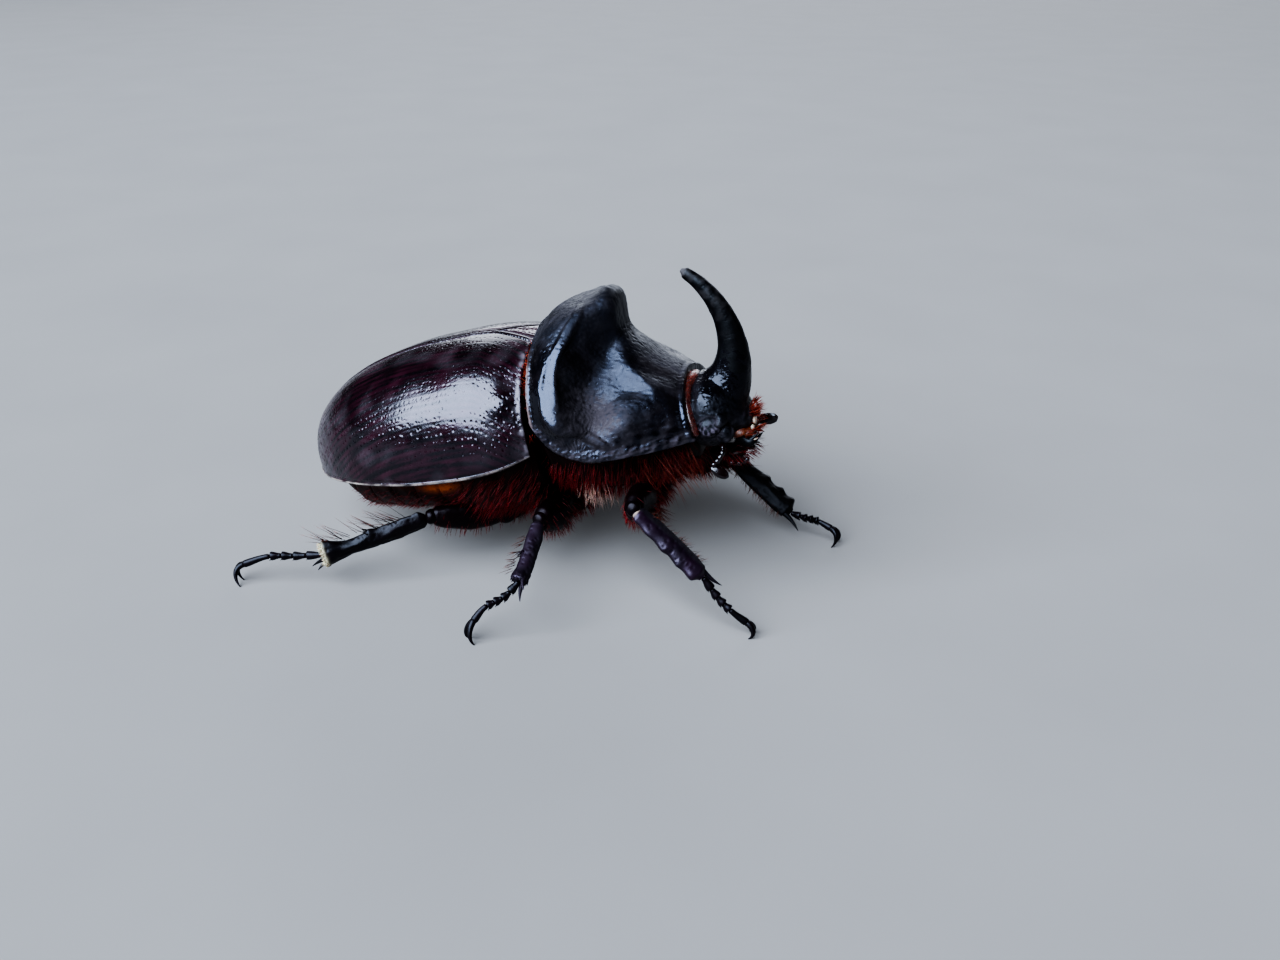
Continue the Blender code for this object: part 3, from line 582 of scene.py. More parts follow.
def chitin(
    name, dark, light, roughness, coat,
    grain=0.012, grit=6.0, ior=1.4, gleam=(0.8, 0.88, 1.0), specks=0.0, tints=(),
):
    """Shell: two mottled tones and a thin coat. Gleam tints its reflection.

    Grain is the depth of its bumps, grit and specks are how many bumps and pinpricks lie along a
    millimetre, and tints are (mark, colour, added roughness)."""
    look = Look(name)
    colour = look.mix(look.ramp(look.noise(0.5), 0.35, 0.7), dark, light)
    rough = look.plus(look.times(look.ramp(look.noise(1.7), 0.3, 0.8), 0.10), roughness)
    for label, tint, extra in tints:
        speckle = look.ramp(look.noise(3.5), 0.25, 0.65)
        amount = look.maths("MINIMUM", look.times(look.mark(label), look.plus(speckle, 0.8)), 1.0)
        colour = look.mix(amount, colour, tint)
        rough = look.plus(rough, look.times(amount, extra))
    relief = look.noise(grit, 3.0)
    if specks:
        cells = look.add("TexVoronoi", {"Vector": look.place(), "Scale": specks / MM})
        relief = look.plus(relief, look.times(look.ramp(cells.outputs["Distance"], 0.10, 0.28), 1.6))
    normal = look.bump(relief, grain, 0.5)
    return look.shade({
        "Base Color": colour, "Roughness": look.maths("MINIMUM", rough, 0.95),
        "IOR": ior, "Specular Tint": gleam, "Coat Weight": coat, "Coat Roughness": 0.1, "Coat IOR": 1.45,
        "Normal": normal, "Coat Normal": normal,
    })


def soft(name, dark, light, roughness, coat):
    """Membrane or lobe: two tones with a little light let through."""
    look = Look(name)
    return look.shade({
        "Base Color": look.mix(look.ramp(look.noise(2.0), 0.3, 0.7), dark, light),
        "Roughness": look.times(look.noise(3.0), roughness * 1.6),
        "Subsurface Weight": 0.25, "Subsurface Scale": 0.3 * MM, "Coat Weight": coat, "Coat Roughness": 0.25,
        "Normal": look.bump(look.noise(7.0), 0.03),
    })


def hair_material(name, root, tip):
    """Bristles: darker at the root, lighter towards the tip, each a little different."""
    look = Look(name)
    pale = tuple(min(1.0, c * 1.7 + 0.02) for c in tip)
    colour = look.mix(look.mark("along"), root, tip)
    return look.shade({
        "Base Color": look.mix(look.times(look.mark("own"), 0.5), colour, pale),
        "Roughness": 0.4, "Specular IOR Level": 0.12, "Subsurface Weight": 0.15, "Subsurface Scale": 0.1 * MM,
    })


WINGS = chitin(
    "wing_case_shell", (0.0042, 0.0007, 0.0020), (0.0160, 0.0028, 0.0068), 0.14, 0.13,
    ior=1.44, gleam=(0.84, 0.83, 1.0), specks=2.3,
    tints=(
        ("streak", (0.0010, 0.0002, 0.0008), 0.06), ("dust", (0.07, 0.06, 0.07), 0.25),
        ("rim", (0.20, 0.17, 0.15), 0.2),
    ),
)
SHIELD = chitin(
    "pronotum_shell", (0.0008, 0.0007, 0.0014), (0.0022, 0.0014, 0.0020), 0.15, 0.06,
    ior=1.42, gleam=(0.60, 0.70, 1.0), specks=2.6,
    tints=(
        ("matt", (0.0022, 0.0015, 0.0020), 0.28), ("dust", (0.030, 0.024, 0.026), 0.5),
        ("rim", (0.034, 0.026, 0.030), 0.45), ("bead", (0.110, 0.074, 0.066), 0.5),
    ),
)
HORN = chitin(
    "horn_shell", (0.0005, 0.0005, 0.0008), (0.0015, 0.0012, 0.0015), 0.36, 0.0, grain=0.02, ior=1.27,
    tints=(("dust", (0.045, 0.040, 0.042), 0.2),),
)
HEAD = chitin(
    "head_shell", (0.0008, 0.0007, 0.0014), (0.0020, 0.0015, 0.0024), 0.16, 0.05, grain=0.025,
    ior=1.31, gleam=(0.74, 0.80, 1.0), specks=3.0,
    tints=(("matt", (0.0012, 0.0009, 0.0014), 0.34), ("dust", (0.036, 0.031, 0.038), 0.4)),
)
BELLY = chitin(
    "underside_shell", (0.0018, 0.0001, 0.0002), (0.0075, 0.0003, 0.0005), 0.45, 0.0, ior=1.25,
    gleam=(1.0, 0.75, 0.75), tints=(("amber", (0.17, 0.034, 0.007), 0.0),),
)
LIMB = chitin(
    "leg_shell", (0.0022, 0.0006, 0.0022), (0.0090, 0.0022, 0.0080), 0.38, 0.03,
    ior=1.41, gleam=(0.80, 0.70, 0.95),
    # The inner tint is painted shade, darker and rougher, on the side of a leg that faces the trunk's middle.
    tints=(("pale", (0.20, 0.15, 0.11), 0.3), ("inner", (0.0012, 0.0003, 0.0004), 0.35)),
)
# Thigh shell: darker than the leg shell, as painted shade for the thighs under the trunk.
SHADED_THIGH = chitin(
    "shaded_thigh_shell", (0.0010, 0.0003, 0.0006), (0.0032, 0.0007, 0.0014), 0.30, 0.0, grain=0.03, grit=3.5,
    ior=1.22, gleam=(0.9, 0.85, 1.0),
)
# Dark leg shell: the toes, claws and hind shins in their own darker colour, and the far front shin, where its
# darkness is painted shade.
DARK_AND_SHADED_LIMB = chitin(
    "dark_and_shaded_leg_shell", (0.0008, 0.0004, 0.0008), (0.0034, 0.0010, 0.0022), 0.34, 0.0, grain=0.03, grit=3.0,
    ior=1.27, gleam=(0.82, 0.86, 1.0),
    # The inner tint is painted shade on the side of a leg that faces the trunk's middle.
    tints=(("pale", (0.34, 0.30, 0.21), 0.3), ("inner", (0.0008, 0.0003, 0.0004), 0.2)),
)
FEELER = chitin("feeler_shell", (0.0020, 0.0006, 0.0007), (0.0060, 0.0014, 0.0014), 0.12, 0.4)
EYE = chitin(
    "eye_bead", (0.0012, 0.0010, 0.0018), (0.0050, 0.0045, 0.0070), 0.42, 0.0, grain=0.02, grit=12.0,
    # The eye's dust tint is partly dust and partly the facets' bluish sheen, painted in.
    ior=1.3, tints=(("dust", (0.060, 0.050, 0.066), 0.35),),
)
LIPS = soft("mouth_skin", (0.035, 0.0045, 0.0015), (0.13, 0.026, 0.006), 0.6, 0.0)
LOBES = soft("cream_lobes", (0.12, 0.085, 0.065), (0.24, 0.19, 0.15), 0.45, 0.1)
MEMBRANE = soft("neck_membrane", (0.024, 0.0038, 0.0028), (0.078, 0.0155, 0.0115), 0.35, 0.5)
RUSTY = hair_material("rusty_hair", (0.008, 0.0002, 0.0004), (0.080, 0.0016, 0.0026))
ORANGE = hair_material("orange_hair", (0.022, 0.0012, 0.0008), (0.13, 0.014, 0.005))
EMBER = hair_material("ember_hair", (0.020, 0.0014, 0.0010), (0.16, 0.030, 0.016))
PALE = hair_material("pale_hair", (0.05, 0.010, 0.008), (0.30, 0.19, 0.16))
CREAM = hair_material("cream_hair", (0.12, 0.10, 0.065), (0.33, 0.29, 0.20))
DARK = hair_material("dark_bristles", (0.008, 0.002, 0.002), (0.045, 0.013, 0.009))

# Wing cases


def margin_height(ahead):
    """The height of the wing cases' side edge."""
    run = (ahead - MARGIN_RISE_START) / (MARGIN_RISE_END - MARGIN_RISE_START)
    return MARGIN_RISE * held(run) ** MARGIN_POWER


def wing_station(place, inset):
    """Ahead, half width and height of the wing dome: place runs from -1, front, over 0 to 1, tip."""
    place = np.asarray(place, float)
    front_half = place < 0
    length = np.where(front_half, ELYTRA_FRONT - ELYTRA_WIDEST, ELYTRA_WIDEST - ELYTRA_TIP - inset)
    ahead = ELYTRA_WIDEST - place * length
    forward = ELYTRA_HALF_WIDTH - (ELYTRA_HALF_WIDTH - ELYTRA_SHOULDER) * np.abs(place) ** SHOULDER_POWER
    rearward = ELYTRA_HALF_WIDTH * np.sqrt(np.maximum(0.0, 1 - place**2))
    half_width = np.where(front_half, forward, rearward)
    back = held((ELYTRA_HIGHEST - ahead) / (ELYTRA_HIGHEST - ELYTRA_TIP - inset))
    closing = (1 - back**ELYTRA_REAR_FULLNESS) ** (1 / ELYTRA_REAR_FULLNESS)
    front = held((ahead - ELYTRA_HIGHEST) / (ELYTRA_FRONT - ELYTRA_HIGHEST))
    top = ELYTRA_HEIGHT * closing - ELYTRA_FRONT_DROP * front**2
    squeeze = np.where(front_half, 1.0, half_width / ELYTRA_HALF_WIDTH)
    return ahead, half_width - inset * squeeze, top - inset * closing


def dome_height(side, half_width, height):
    """The height of the dome above its margin, at a distance from the suture."""
    u = held(np.abs(side) / np.maximum(half_width, 1e-6))
    return height * (1 - u**ELYTRA_SECTION) ** (1 / ELYTRA_SECTION)


def scutellum_half_width(ahead):
    run = (ahead - SCUTELLUM_APEX) / (ELYTRA_FRONT - SCUTELLUM_APEX)
    return SCUTELLUM_HALF_WIDTH * held(run)


def wing_grid(rows, columns):
    """The smooth outer surface of the left wing case, from the suture out and from the front back."""
    front = np.linspace(-1, 0, rows // 4, endpoint=False)
    rear = np.sin(np.radians(np.linspace(0, 89.9, rows - rows // 4)))
    ahead, half_width, height = wing_station(np.concatenate([front, rear])[:, None], 0.0)
    inner = 0.03 + scutellum_half_width(ahead)
    share = np.sin(np.linspace(0, 1, columns)[None, :] * np.pi / 2)
    side = np.minimum(inner, half_width) + np.maximum(half_width - inner, 0.0) * share
    rise = dome_height(side, half_width, height)
    rise[:, -1] = 0.0
    ahead = np.broadcast_to(ahead, side.shape)
    return np.stack([side, -ahead, margin_height(ahead) + rise], axis=-1)


def wing_case(side_name, sign):
    rows, columns = 401, 241
    base = wing_grid(rows, columns)
    normals = grid_normals(base, rows // 2, 10)
    suture = arc(base, 1)
    margin = suture[:, -1:] - suture
    behind = arc(base, 0)
    ahead = -base[..., 1]
    bead = 0.35 + 0.65 * smooth(2.5, -3.0, ahead)
    # The raised suture, the margin's bead with its groove, and the front edge.
    height = 0.05 * bell(suture, 0.22, 0.16) - 0.09 * bell(suture, 0.52, 0.10)
    height += bead * (0.09 * bell(margin, 0.08, 0.09) - 0.07 * bell(margin, 0.28, 0.11))
    height += 0.02 * bell(behind, 0.1, 0.15) - 0.02 * bell(behind, 0.4, 0.16)
    # The shoulder's knob and hollow, and the knob before the tip.
    height += 0.30 * bell(ahead, 1.75, 0.85) * bell(margin, 4.9, 1.0)
    height -= 0.12 * bell(ahead, 2.3, 0.7) * bell(margin, 6.6, 1.0)
    height += 0.10 * bell(ahead, -14.6, 1.6) * bell(margin, 3.4, 1.4)
    height += 0.030 * ripple(base, 5.5, 3) + 0.0022 * ripple(base, 1.6, 4)
    # Faint ribs between double rows of pits, scattered pits and fine streaks.
    inside = smooth(0.7, 1.3, suture) * smooth(0.7, 1.2, margin)
    for row in (2.3, 4.6, 6.9, 9.0):
        height += 0.006 * bell(suture, row + 0.35, 0.35) * inside
        height -= 0.005 * (bell(suture, row, 0.09) + bell(suture, row + 0.7, 0.09)) * inside
    flat = np.stack([suture + 0.03 * ripple(base, 2.0, 5), behind, np.zeros_like(suture)], axis=-1)
    rows_of_pits = pits(flat * (1 / 0.60, 1 / 0.42, 0), 1.0, 0.22, 11, keep=0.82, loose=(0.26, 0.7, 0))
    deeper = 0.020 + 0.030 * smooth(5.6, 4.2, margin)
    dotted = deeper * rows_of_pits * inside + 0.006 * pits(flat, 0.42, 0.085, 12, keep=0.7)
    height -= dotted * (1 - 0.7 * bell(margin, 0.0, 1.0))
    streaks = np.sin(suture * 21 + 2.2 * ripple(base * (1, 0.25, 1), 1.6, 14))
    height += 0.0024 * streaks * inside * smooth(2.0, -8.0, ahead)
    height -= 0.05 * pits(flat * (1, 1, 0), 0.30, 0.11, 13, keep=0.8) * bell(suture, 0.52, 0.12)
    # Dust on the tip, along the suture and along the front edge.
    dust = 0.35 * smooth(-12.5, -18.5, ahead) * (0.5 + 0.5 * ripple(base, 1.1, 6))
    dust += 0.10 * held(ripple(base, 2.6, 7))
    dust += 0.35 * bell(suture, 0.5, 0.12) * smooth(2.0, -6.0, ahead)
    dust += 0.45 * bell(behind, 0.2, 0.3) * held(ripple(base, 0.8, 8) + 0.2)
    rim = bead * bell(margin, 0.07, 0.06) * (0.55 + 0.45 * ripple(base, 1.3, 9))
    streak = 0.35 + 0.5 * ripple(flat * (1 / 0.3, 1 / 6.0, 0), 1.6, 15) + 0.25 * ripple(base, 3.0, 16)
    points, faces = shell(base + normals * height[..., None], base, normals, WING_THICKNESS)
    marks = grid_marks(points, dust=dust, rim=rim, streak=streak)
    made = make("wing_case_" + side_name, trunk(points * (sign, 1, 1)), faces, WINGS, marks)
    finish(made, "elytra", "elytron_" + side_name)


def scutellum():
    rows, columns = 61, 61
    ahead = np.linspace(ELYTRA_FRONT + 0.1, SCUTELLUM_APEX + 0.05, rows)[:, None]
    half = np.maximum(scutellum_half_width(ahead) - 0.05, 0.02)
    side = np.linspace(-1, 1, columns)[None, :] * half
    top = wing_station((ELYTRA_WIDEST - ahead) / (ELYTRA_FRONT - ELYTRA_WIDEST), 0.0)[2]
    up = margin_height(ahead) + dome_height(side, ELYTRA_SHOULDER, top) - 0.05
    base = np.stack([side, np.broadcast_to(-ahead, side.shape), up], axis=-1)
    normals = np.zeros_like(base)
    normals[..., 2] = 1.0
    edge = half - np.abs(side)
    height = 0.12 * smooth(0.0, 0.35, edge) - 0.06 * bell(side, 0, 0.25)
    height -= 0.04 * pits(base * (1, 1, 0), 0.3, 0.11, 21, keep=0.8) * smooth(0.15, 0.4, edge)
    points, faces = shell(base + normals * height[..., None], base, normals, SCUTELLUM_THICKNESS)
    marks = grid_marks(points, dust=0.35 * smooth(0.3, 0.0, edge))
    finish(make("scutellum_plate", trunk(points), faces, WINGS, marks), "elytra", "scutellum")


# Pronotum


def shield_reach(ahead):
    """The angle from straight up at which the shield's side edge lies."""
    corner = 66 + 25 * (1 - np.exp(-(ahead - 4.1) / 1.7))
    return np.radians(corner + 4 * held((ahead - 4) / 11) ** 3)


def forms(table, ahead, degrees):
    """The sum of a table of swellings and hollows."""
    total = 0.0
    for height, centre, reach, angle, angle_reach in table:
        total = total + height * bell(ahead, centre, reach) * bell(degrees, angle, angle_reach)
    return total


def crest_line(degrees):
    """How far ahead the foot of the crest lies, at an angle from straight up."""
    fold = CREST_AHEAD - 3.2 * smooth(8, 40, degrees) - 0.9 * smooth(34, 54, degrees)
    fold = fold + 0.75 * smooth(22, 42, degrees) * smooth(84, 66, degrees) + 0.9 * bell(degrees, 68, 8)
    return fold + 0.5 * smooth(15, 30, degrees) + 1.5 * smooth(66, 88, degrees)


def shield_radius(ahead, angle):
    """The pronotum's outer surface: a hump behind a crest, and a scooped face in front of it."""
    degrees = np.degrees(np.abs(angle))
    x = held((ahead - 4.0) / 11.0)
    lift = 1 - 1.55 * smooth(50, 75, degrees)
    rise = 1 - np.exp(-np.maximum(ahead - PRONOTUM_REAR, 0.0) / HUMP_RUN)
    hump = PRONOTUM_REAR_RADIUS + HUMP_RISE * rise * lift + forms(HUMP_KNOBS, ahead, degrees)
    face = PRONOTUM_MARGIN_RADIUS - PRONOTUM_TAPER * x**PRONOTUM_TAPER_POWER
    face = face - FACE_DIP * np.maximum(np.cos(angle), 0.0) ** 1.3 + forms(FACE_FORMS, ahead, degrees)
    sharp = CREST_SHARPNESS + 0.24 * smooth(8, 40, degrees) - 0.2 * smooth(28, 48, degrees)
    share = 1 / (1 + np.exp(-(ahead - crest_line(degrees)) / sharp))
    return hump * (1 - share) + face * share


def ridge_line(degrees):
    """How far ahead the polished ridge behind the side pit lies."""
    return 6.0 + 1.8 * (np.clip(60 - degrees, 0, 40) / 38) ** 2 + (np.clip(degrees - 60, 0, 30) / 9) ** 1.3


def flattened(base, normals, height, facing, spot, lift, share, most=0.8):
    """The height with a field brought towards a plane that faces this way in the row frame.

    The plane passes this lift off the surface at spot, (ahead, degrees) on the left side. No point
    rises by more than most."""
    ahead, degrees = -base[..., 1], np.degrees(np.arctan2(base[..., 0], base[..., 2]))
    away = (ahead - spot[0]) ** 2 + ((degrees - spot[1]) * 0.15) ** 2
    place = np.unravel_index(np.argmin(away), away.shape)
    side = np.sign(base[..., 0])[..., None] * (1, 0, 0) + (0, 1, 1)
    back = facing[1] * PITCH_COS - facing[2] * PITCH_SIN
    up = facing[1] * PITCH_SIN + facing[2] * PITCH_COS
    plane = unit(side * (facing[0], back, up))
    current = base + normals * height[..., None]
    middle = side * (current[place] + normals[place] * lift)
    gap = ((middle - current) * plane).sum(axis=-1) / np.maximum((normals * plane).sum(axis=-1), 0.4)
    rise = np.where(gap > 0, most * np.tanh(gap / most), np.maximum(gap, -1.0))
    return np.maximum(height + share * rise, -0.6)


def shield_front(u):
    return PRONOTUM_FRONT - 0.6 + 0.7 * u**2


def shield_grid(rows, columns):
    """The smooth pronotum and its angle, with a third of the rows running along the crest's foot."""
    u = np.linspace(-1, 1, columns)
    rear = PRONOTUM_REAR + 0.3 * u**2
    front = shield_front(u)
    t = np.linspace(0, 1, rows)
    start, stop = CREST_STOPS
    ahead = np.empty((rows, columns))
    for j in range(columns):
        reach = shield_reach(rear[j] + (front[j] - rear[j]) * t)
        fold = crest_line(np.degrees(np.abs(u[j] * reach)))
        half = np.minimum(CREST_HALF_LENGTH, 0.45 * (fold - rear[j]))
        low, high = fold - half, fold + half
        first = rear[j] + (low - rear[j]) * t / start
        middle = low + (high - low) * (t - start) / (stop - start)
        last = high + (front[j] - high) * (t - stop) / (1 - stop)
        ahead[:, j] = np.where(t < start, first, np.where(t < stop, middle, last))
    angle = u * shield_reach(ahead)
    radius = shield_radius(ahead, angle)
    # The top of the hump's front wall leans forward over its foot.
    lean = CREST_LEAN * smooth(7.4, 10.6, radius) * smooth(CREST_AHEAD - 3, CREST_AHEAD, ahead)
    return around(radius, angle, ahead + lean), angle


def pronotum():
    rows, columns = 169, 421
    base, angle = shield_grid(rows, columns)
    normals = grid_normals(base, rows // 4, columns // 2)
    ahead = -base[..., 1]
    degrees = np.degrees(np.abs(angle))
    across = arc(base, 1)
    edge = np.minimum(across, across[:, -1:] - across)
    rear = arc(base, 0)
    front = rear[-1:] - rear
    rim_at = np.minimum(edge, rear)
    low = bell(edge, 0.0, 1.2)

    def at(centre, reach, angle, angle_reach):
        return bell(ahead, centre, reach) * bell(degrees, angle, angle_reach)

    height = (0.09 - 0.08 * low) * bell(rim_at, 0.28, 0.28) - (0.10 - 0.09 * low) * bell(rim_at, 0.85, 0.24)
    height += forms(SIDE_FORMS, ahead, degrees)
    # The two polished places: the ridge behind the side pit and the cheek in front of it.
    slim = (ahead - ridge_line(degrees)) / (0.36 + 0.16 * smooth(38, 60, degrees))
    ridge = np.exp(-(slim**4) - (np.abs(degrees - 50) / 28) ** 4)
    height = flattened(base, normals, height, RIDGE_FACING, (6.2, 48), -0.15, ridge)
    cheek = np.exp(-((np.abs(ahead - 11.2) / 2.3) ** 3) - (np.abs(degrees - 43) / 11) ** 3)
    most = 0.08 + 0.6 * smooth(12.2, 10.8, ahead) * smooth(30, 38, degrees)
    height = flattened(base, normals, height, CHEEK_FACING, (11.2, 42), -0.40, cheek, most)
    height += 0.07 * bell(front, 0.1, 0.15) - 0.06 * bell(front, 0.45, 0.16)
    height += 0.03 * ripple(base, 4.0, 31) + 0.008 * ripple(base, 1.3, 32)
    side_pit = at(8.3, 1.7, 62, 17)
    scoop = smooth(CREST_AHEAD - 3, CREST_AHEAD + 1, ahead)
    coarse = pits(base, 0.34, 0.22, 34)
    height -= 0.026 * pits(base, 0.36, 0.16, 33, keep=0.8) * smooth(0.5, 1.3, rim_at)
    height -= 0.055 * coarse * held(side_pit * 1.4 + 0.35 * scoop * smooth(75, 50, degrees))
    # Wrinkles that fan out over the lower part of the side pit and the fold in front of it.
    fan = np.arctan2(degrees - 92, (ahead - 7.2) * 7.0)
    wrinkles = np.sin(fan * 56 + 4.0 * ripple(base, 1.4, 35)) * (0.5 + 0.5 * ripple(base, 0.8, 43))
    lower_pit = at(7.4, 1.3, 74, 9)
    height += 0.016 * wrinkles * held(lower_pit + 0.8 * at(9.8, 1.3, 67, 9))
    height -= 0.06 * pits(base, 0.30, 0.18, 36) * bell(rim_at, 0.45, 0.7)
    # Dust: low on the side, in the side pit and the fold, in pits, in the scoop and on the hump.
    dust = 0.30 * smooth(62, 86, degrees) * (0.35 + 0.55 * ripple(base, 0.9, 37))
    dust += 0.5 * lower_pit * (0.5 + 0.5 * wrinkles) + 0.18 * side_pit
    streak = bell(ahead - 0.03 * (degrees - 60), 8.3, 1.0) * bell(degrees, 60, 12)
    dust += 1.1 * streak * held(0.55 + 0.5 * wrinkles + 0.3 * ripple(base, 0.6, 42))
    patchy = held(0.5 + 0.4 * wrinkles + 0.5 * ripple(base, 0.5, 44))
    dust += 0.9 * at(9.4, 1.3, 68, 9) * patchy
    dust += 0.10 * held(ripple(base, 1.5, 38)) + 0.25 * coarse * side_pit
    dust += 0.22 * bell(degrees, 12, 26) * smooth(11.0, 12.5, ahead)
    bloom = held(0.35 + 0.6 * ripple(base, 1.1, 45) + 0.4 * ripple(base, 0.4, 46))
    dust += 0.22 * bloom * bell(degrees, 8, 22) * smooth(9.8, 8.6, ahead)
    matt = 0.9 * smooth(36, 24, degrees) * smooth(10.8, 9.6, ahead) + 0.3 * smooth(9.5, 8.0, ahead) * side_pit
    matt += 0.7 * scoop * smooth(24, 10, degrees) + 1.0 * at(10.7, 2.5, 42, 14)
    matt += 0.9 * at(9.8, 1.8, 66, 9)
    rim = 0.6 * bell(edge, 0.35, 0.5) * held(0.25 + 0.75 * ripple(base, 0.55, 39))
    rim += 0.4 * bell(rear, 0.3, 0.3) * smooth(58, 74, degrees)
    bead = bell(rear, 0.25, 0.26) * smooth(26, 44, degrees) * smooth(74, 58, degrees)
    bead = bead * (0.7 + 0.3 * ripple(base, 1.5, 40))
    points, faces = shell(base + normals * height[..., None], base, normals, SHIELD_THICKNESS)
    marks = grid_marks(points, dust=dust, rim=rim, matt=matt, bead=bead)
    finish(make("pronotum_shield", trunk(points), faces, SHIELD, marks), "pronotum", "pronotum")


def neck_membrane():
    """The orange-red skin in the front opening of the pronotum, down to the head."""
    columns = 141
    u = np.linspace(-1, 1, columns)
    edge_ahead = shield_front(u)
    angle = u * shield_reach(edge_ahead) * 0.985
    edge_radius = shield_radius(edge_ahead, angle)
    top = bell(np.degrees(angle), 0, 30)
    rows = []
    # How far each row lies ahead of the opening's edge, and how far within it.
    for run, drop in (
        (-0.8, 0.8), (-0.5, 0.65), (-0.2, 0.6), (0.06, 0.65),
        (0.22, 0.85), (0.28, 1.1), (0.2, 1.5), (-0.1, 2.0),
    ):
        ahead = edge_ahead + run + 0.5 * top * smooth(-0.5, 0.0, run)
        rows.append(around(edge_radius - drop * (1 - 0.45 * top), angle, ahead))
    grid = np.stack([spline(line, 4) for line in np.swapaxes(rows, 0, 1)], axis=1)
    grid += 0.03 * ripple(grid, 0.9, 41)[..., None]
    points, faces = shell(grid, grid, grid_normals(grid, 0, columns // 2), MEMBRANE_THICKNESS)
    finish(make("neck_membrane", trunk(points), faces, MEMBRANE), "mouth")


# Underside of the trunk


def trunk_ring(ahead, depth, steps=70):
    """A full ring inside the wing cases: the dome above the margin, the belly below it."""
    rear_length = ELYTRA_WIDEST - ELYTRA_TIP - UNDER_WINGS
    length = ELYTRA_FRONT - ELYTRA_WIDEST if ahead > ELYTRA_WIDEST else rear_length
    ahead, half_width, height = wing_station((ELYTRA_WIDEST - ahead) / length, UNDER_WINGS)
    half_width = half_width - 0.15
    level = margin_height(ahead)
    angle = np.linspace(0, np.pi, steps + 1)
    side = -half_width * np.cos(angle)
    belly = (depth + level) * np.sin(angle[1:-1]) ** 0.85
    top = level + dome_height(side, half_width, height)
    upper = np.stack([side, np.full_like(side, -ahead), top], axis=1)
    lower = np.stack([side[1:-1], np.full_like(belly, -ahead), level - belly], axis=1)[::-1]
    return np.vstack([upper, lower])


def belly_part(name, rings, node_name, amber=None):
    points, faces = loft(rings)
    amber = np.zeros(len(points)) if amber is None else np.append(held(amber).reshape(-1), (0, 0))
    finish(make(name, trunk(points), faces, BELLY, {"amber": amber}), "underside", node_name)
    return rings


def belly_plate(name, node_name, front, rear, depth_front, depth_rear, plates, seed):
    """Part of the trunk below the wing cases, with its plates overlapping like tiles."""
    rings, amber = [], []
    for t in np.linspace(0, 1, 120):
        ahead = front + (rear - front) * t
        ring = trunk_ring(ahead, depth_front + (depth_rear - depth_front) * t)
        middle = ring.mean(axis=0)[[0, 2]]
        within = (t * plates) % 1.0
        shrink = 0.985 - 0.03 * (1 - smooth(0.0, 0.2, within)) + 0.012 * within
        shrink -= 0.06 * (max(0.0, 0.012 - t) + max(0.0, t - 0.988)) / 0.012
        ring[:, (0, 2)] = middle + (ring[:, (0, 2)] - middle) * shrink
        below = float(margin_height(ahead)) - ring[:, 2]
        # The bare yellowish skin under the wing cases: a broad patch and a thin line behind it.
        line = 0.12 * bell(below, 0.4, 0.4) * smooth(-16.5, -14.0, ahead) * smooth(-3.2, -5.0, ahead)
        amber.append(bell(below, 0.7, 0.5) * bell(ahead, -5.0, 1.5) + line)
        rings.append(ring)
    rings = np.array(rings)
    rings += 0.03 * ripple(rings, 2.2, seed)[..., None] * (1, 0, 1)
    dents = 0.035 * pits(rings, 0.5, 0.24, seed + 1, keep=0.6)
    rings -= unit((rings - rings.mean(axis=1, keepdims=True)) * (1, 0, 1)) * dents[..., None]
    return belly_part(name, rings, node_name, amber)


def prothorax():
    """The ring under the pronotum, with a waist that reaches into the wing cases' front."""
    steps, count = 60, 80
    rings = []
    for ahead in np.linspace(PRONOTUM_REAR + 0.25, PRONOTUM_FRONT - 0.7, count):
        angle = np.linspace(-1, 1, steps + 1) * (float(shield_reach(ahead)) - 0.06)
        # The least radius nearby keeps the ring clear of the shield's steep front wall.
        nearby = [shield_radius(ahead + 1.5 * k, angle) for k in np.linspace(-1, 1, 9)]
        upper = around(np.min(nearby, axis=0) - UNDER_SHIELD, angle, ahead)
        depth = PROTHORAX_DEPTH - 1.4 * smooth(11.5, 14.0, ahead) - 0.6 * smooth(7.5, 4.0, ahead)
        edge = upper[-1]
        turn = np.linspace(0, np.pi, steps + 1)[1:-1]
        drop = (depth + edge[2]) * np.sin(turn) ** 0.8
        lower = np.stack([edge[0] * np.cos(turn), np.full(steps - 1, -ahead), edge[2] - drop], axis=1)
        rings.append(np.vstack([upper, lower]))
    middle = rings[0].mean(axis=0)
    waist = []
    for ahead in np.linspace(*WAIST, 12):
        ring = middle + (rings[0] - middle) * (0.86 + 0.07 * smooth(WAIST[0], WAIST[1] + 0.05, ahead))
        ring[:, 1] = -ahead
        waist.append(ring)
    rings = np.array(waist + rings)
    rings += 0.05 * ripple(rings, 1.8, 51)[..., None] * (1, 0, 1)
    return belly_part("prothorax_core", rings, "prothorax_underside")


# Head


def superellipse_ring(ahead, half_width, top, bottom, sides=48):
    angle = turns(sides)
    flat = np.abs(np.sin(angle)) ** 0.85 * np.sign(np.sin(angle))
    up = (top + bottom) / 2 + (top - bottom) / 2 * flat
    return np.stack([half_width * np.cos(angle), np.full(sides, -ahead), up], axis=1)


def horn_rings(first, last, steps, sides, less=0.0):
    """Rings along part of the horn, 0 to 1, with its foot this much slimmer."""
    t = np.linspace(first, last, steps)
    middle = bezier(HORN_CURVE, t)
    path = np.stack([np.zeros(steps), -middle[:, 0], middle[:, 1]], axis=1)
    radius = HORN_TIP_RADIUS + HORN_TAPER * (1 - t) + HORN_FLARE * np.exp(-t / HORN_FLARE_RUN)
    radius = np.minimum(radius, HORN_THICKEST) - less * smooth(0.3, 0.14, t)
    if last >= 1.0:
        radius = radius * np.sqrt(held((1.004 - t) / 0.035))
    return sweep(path, radius * 0.92, radius * 0.92, radius, (1, 0, 0), sides), t


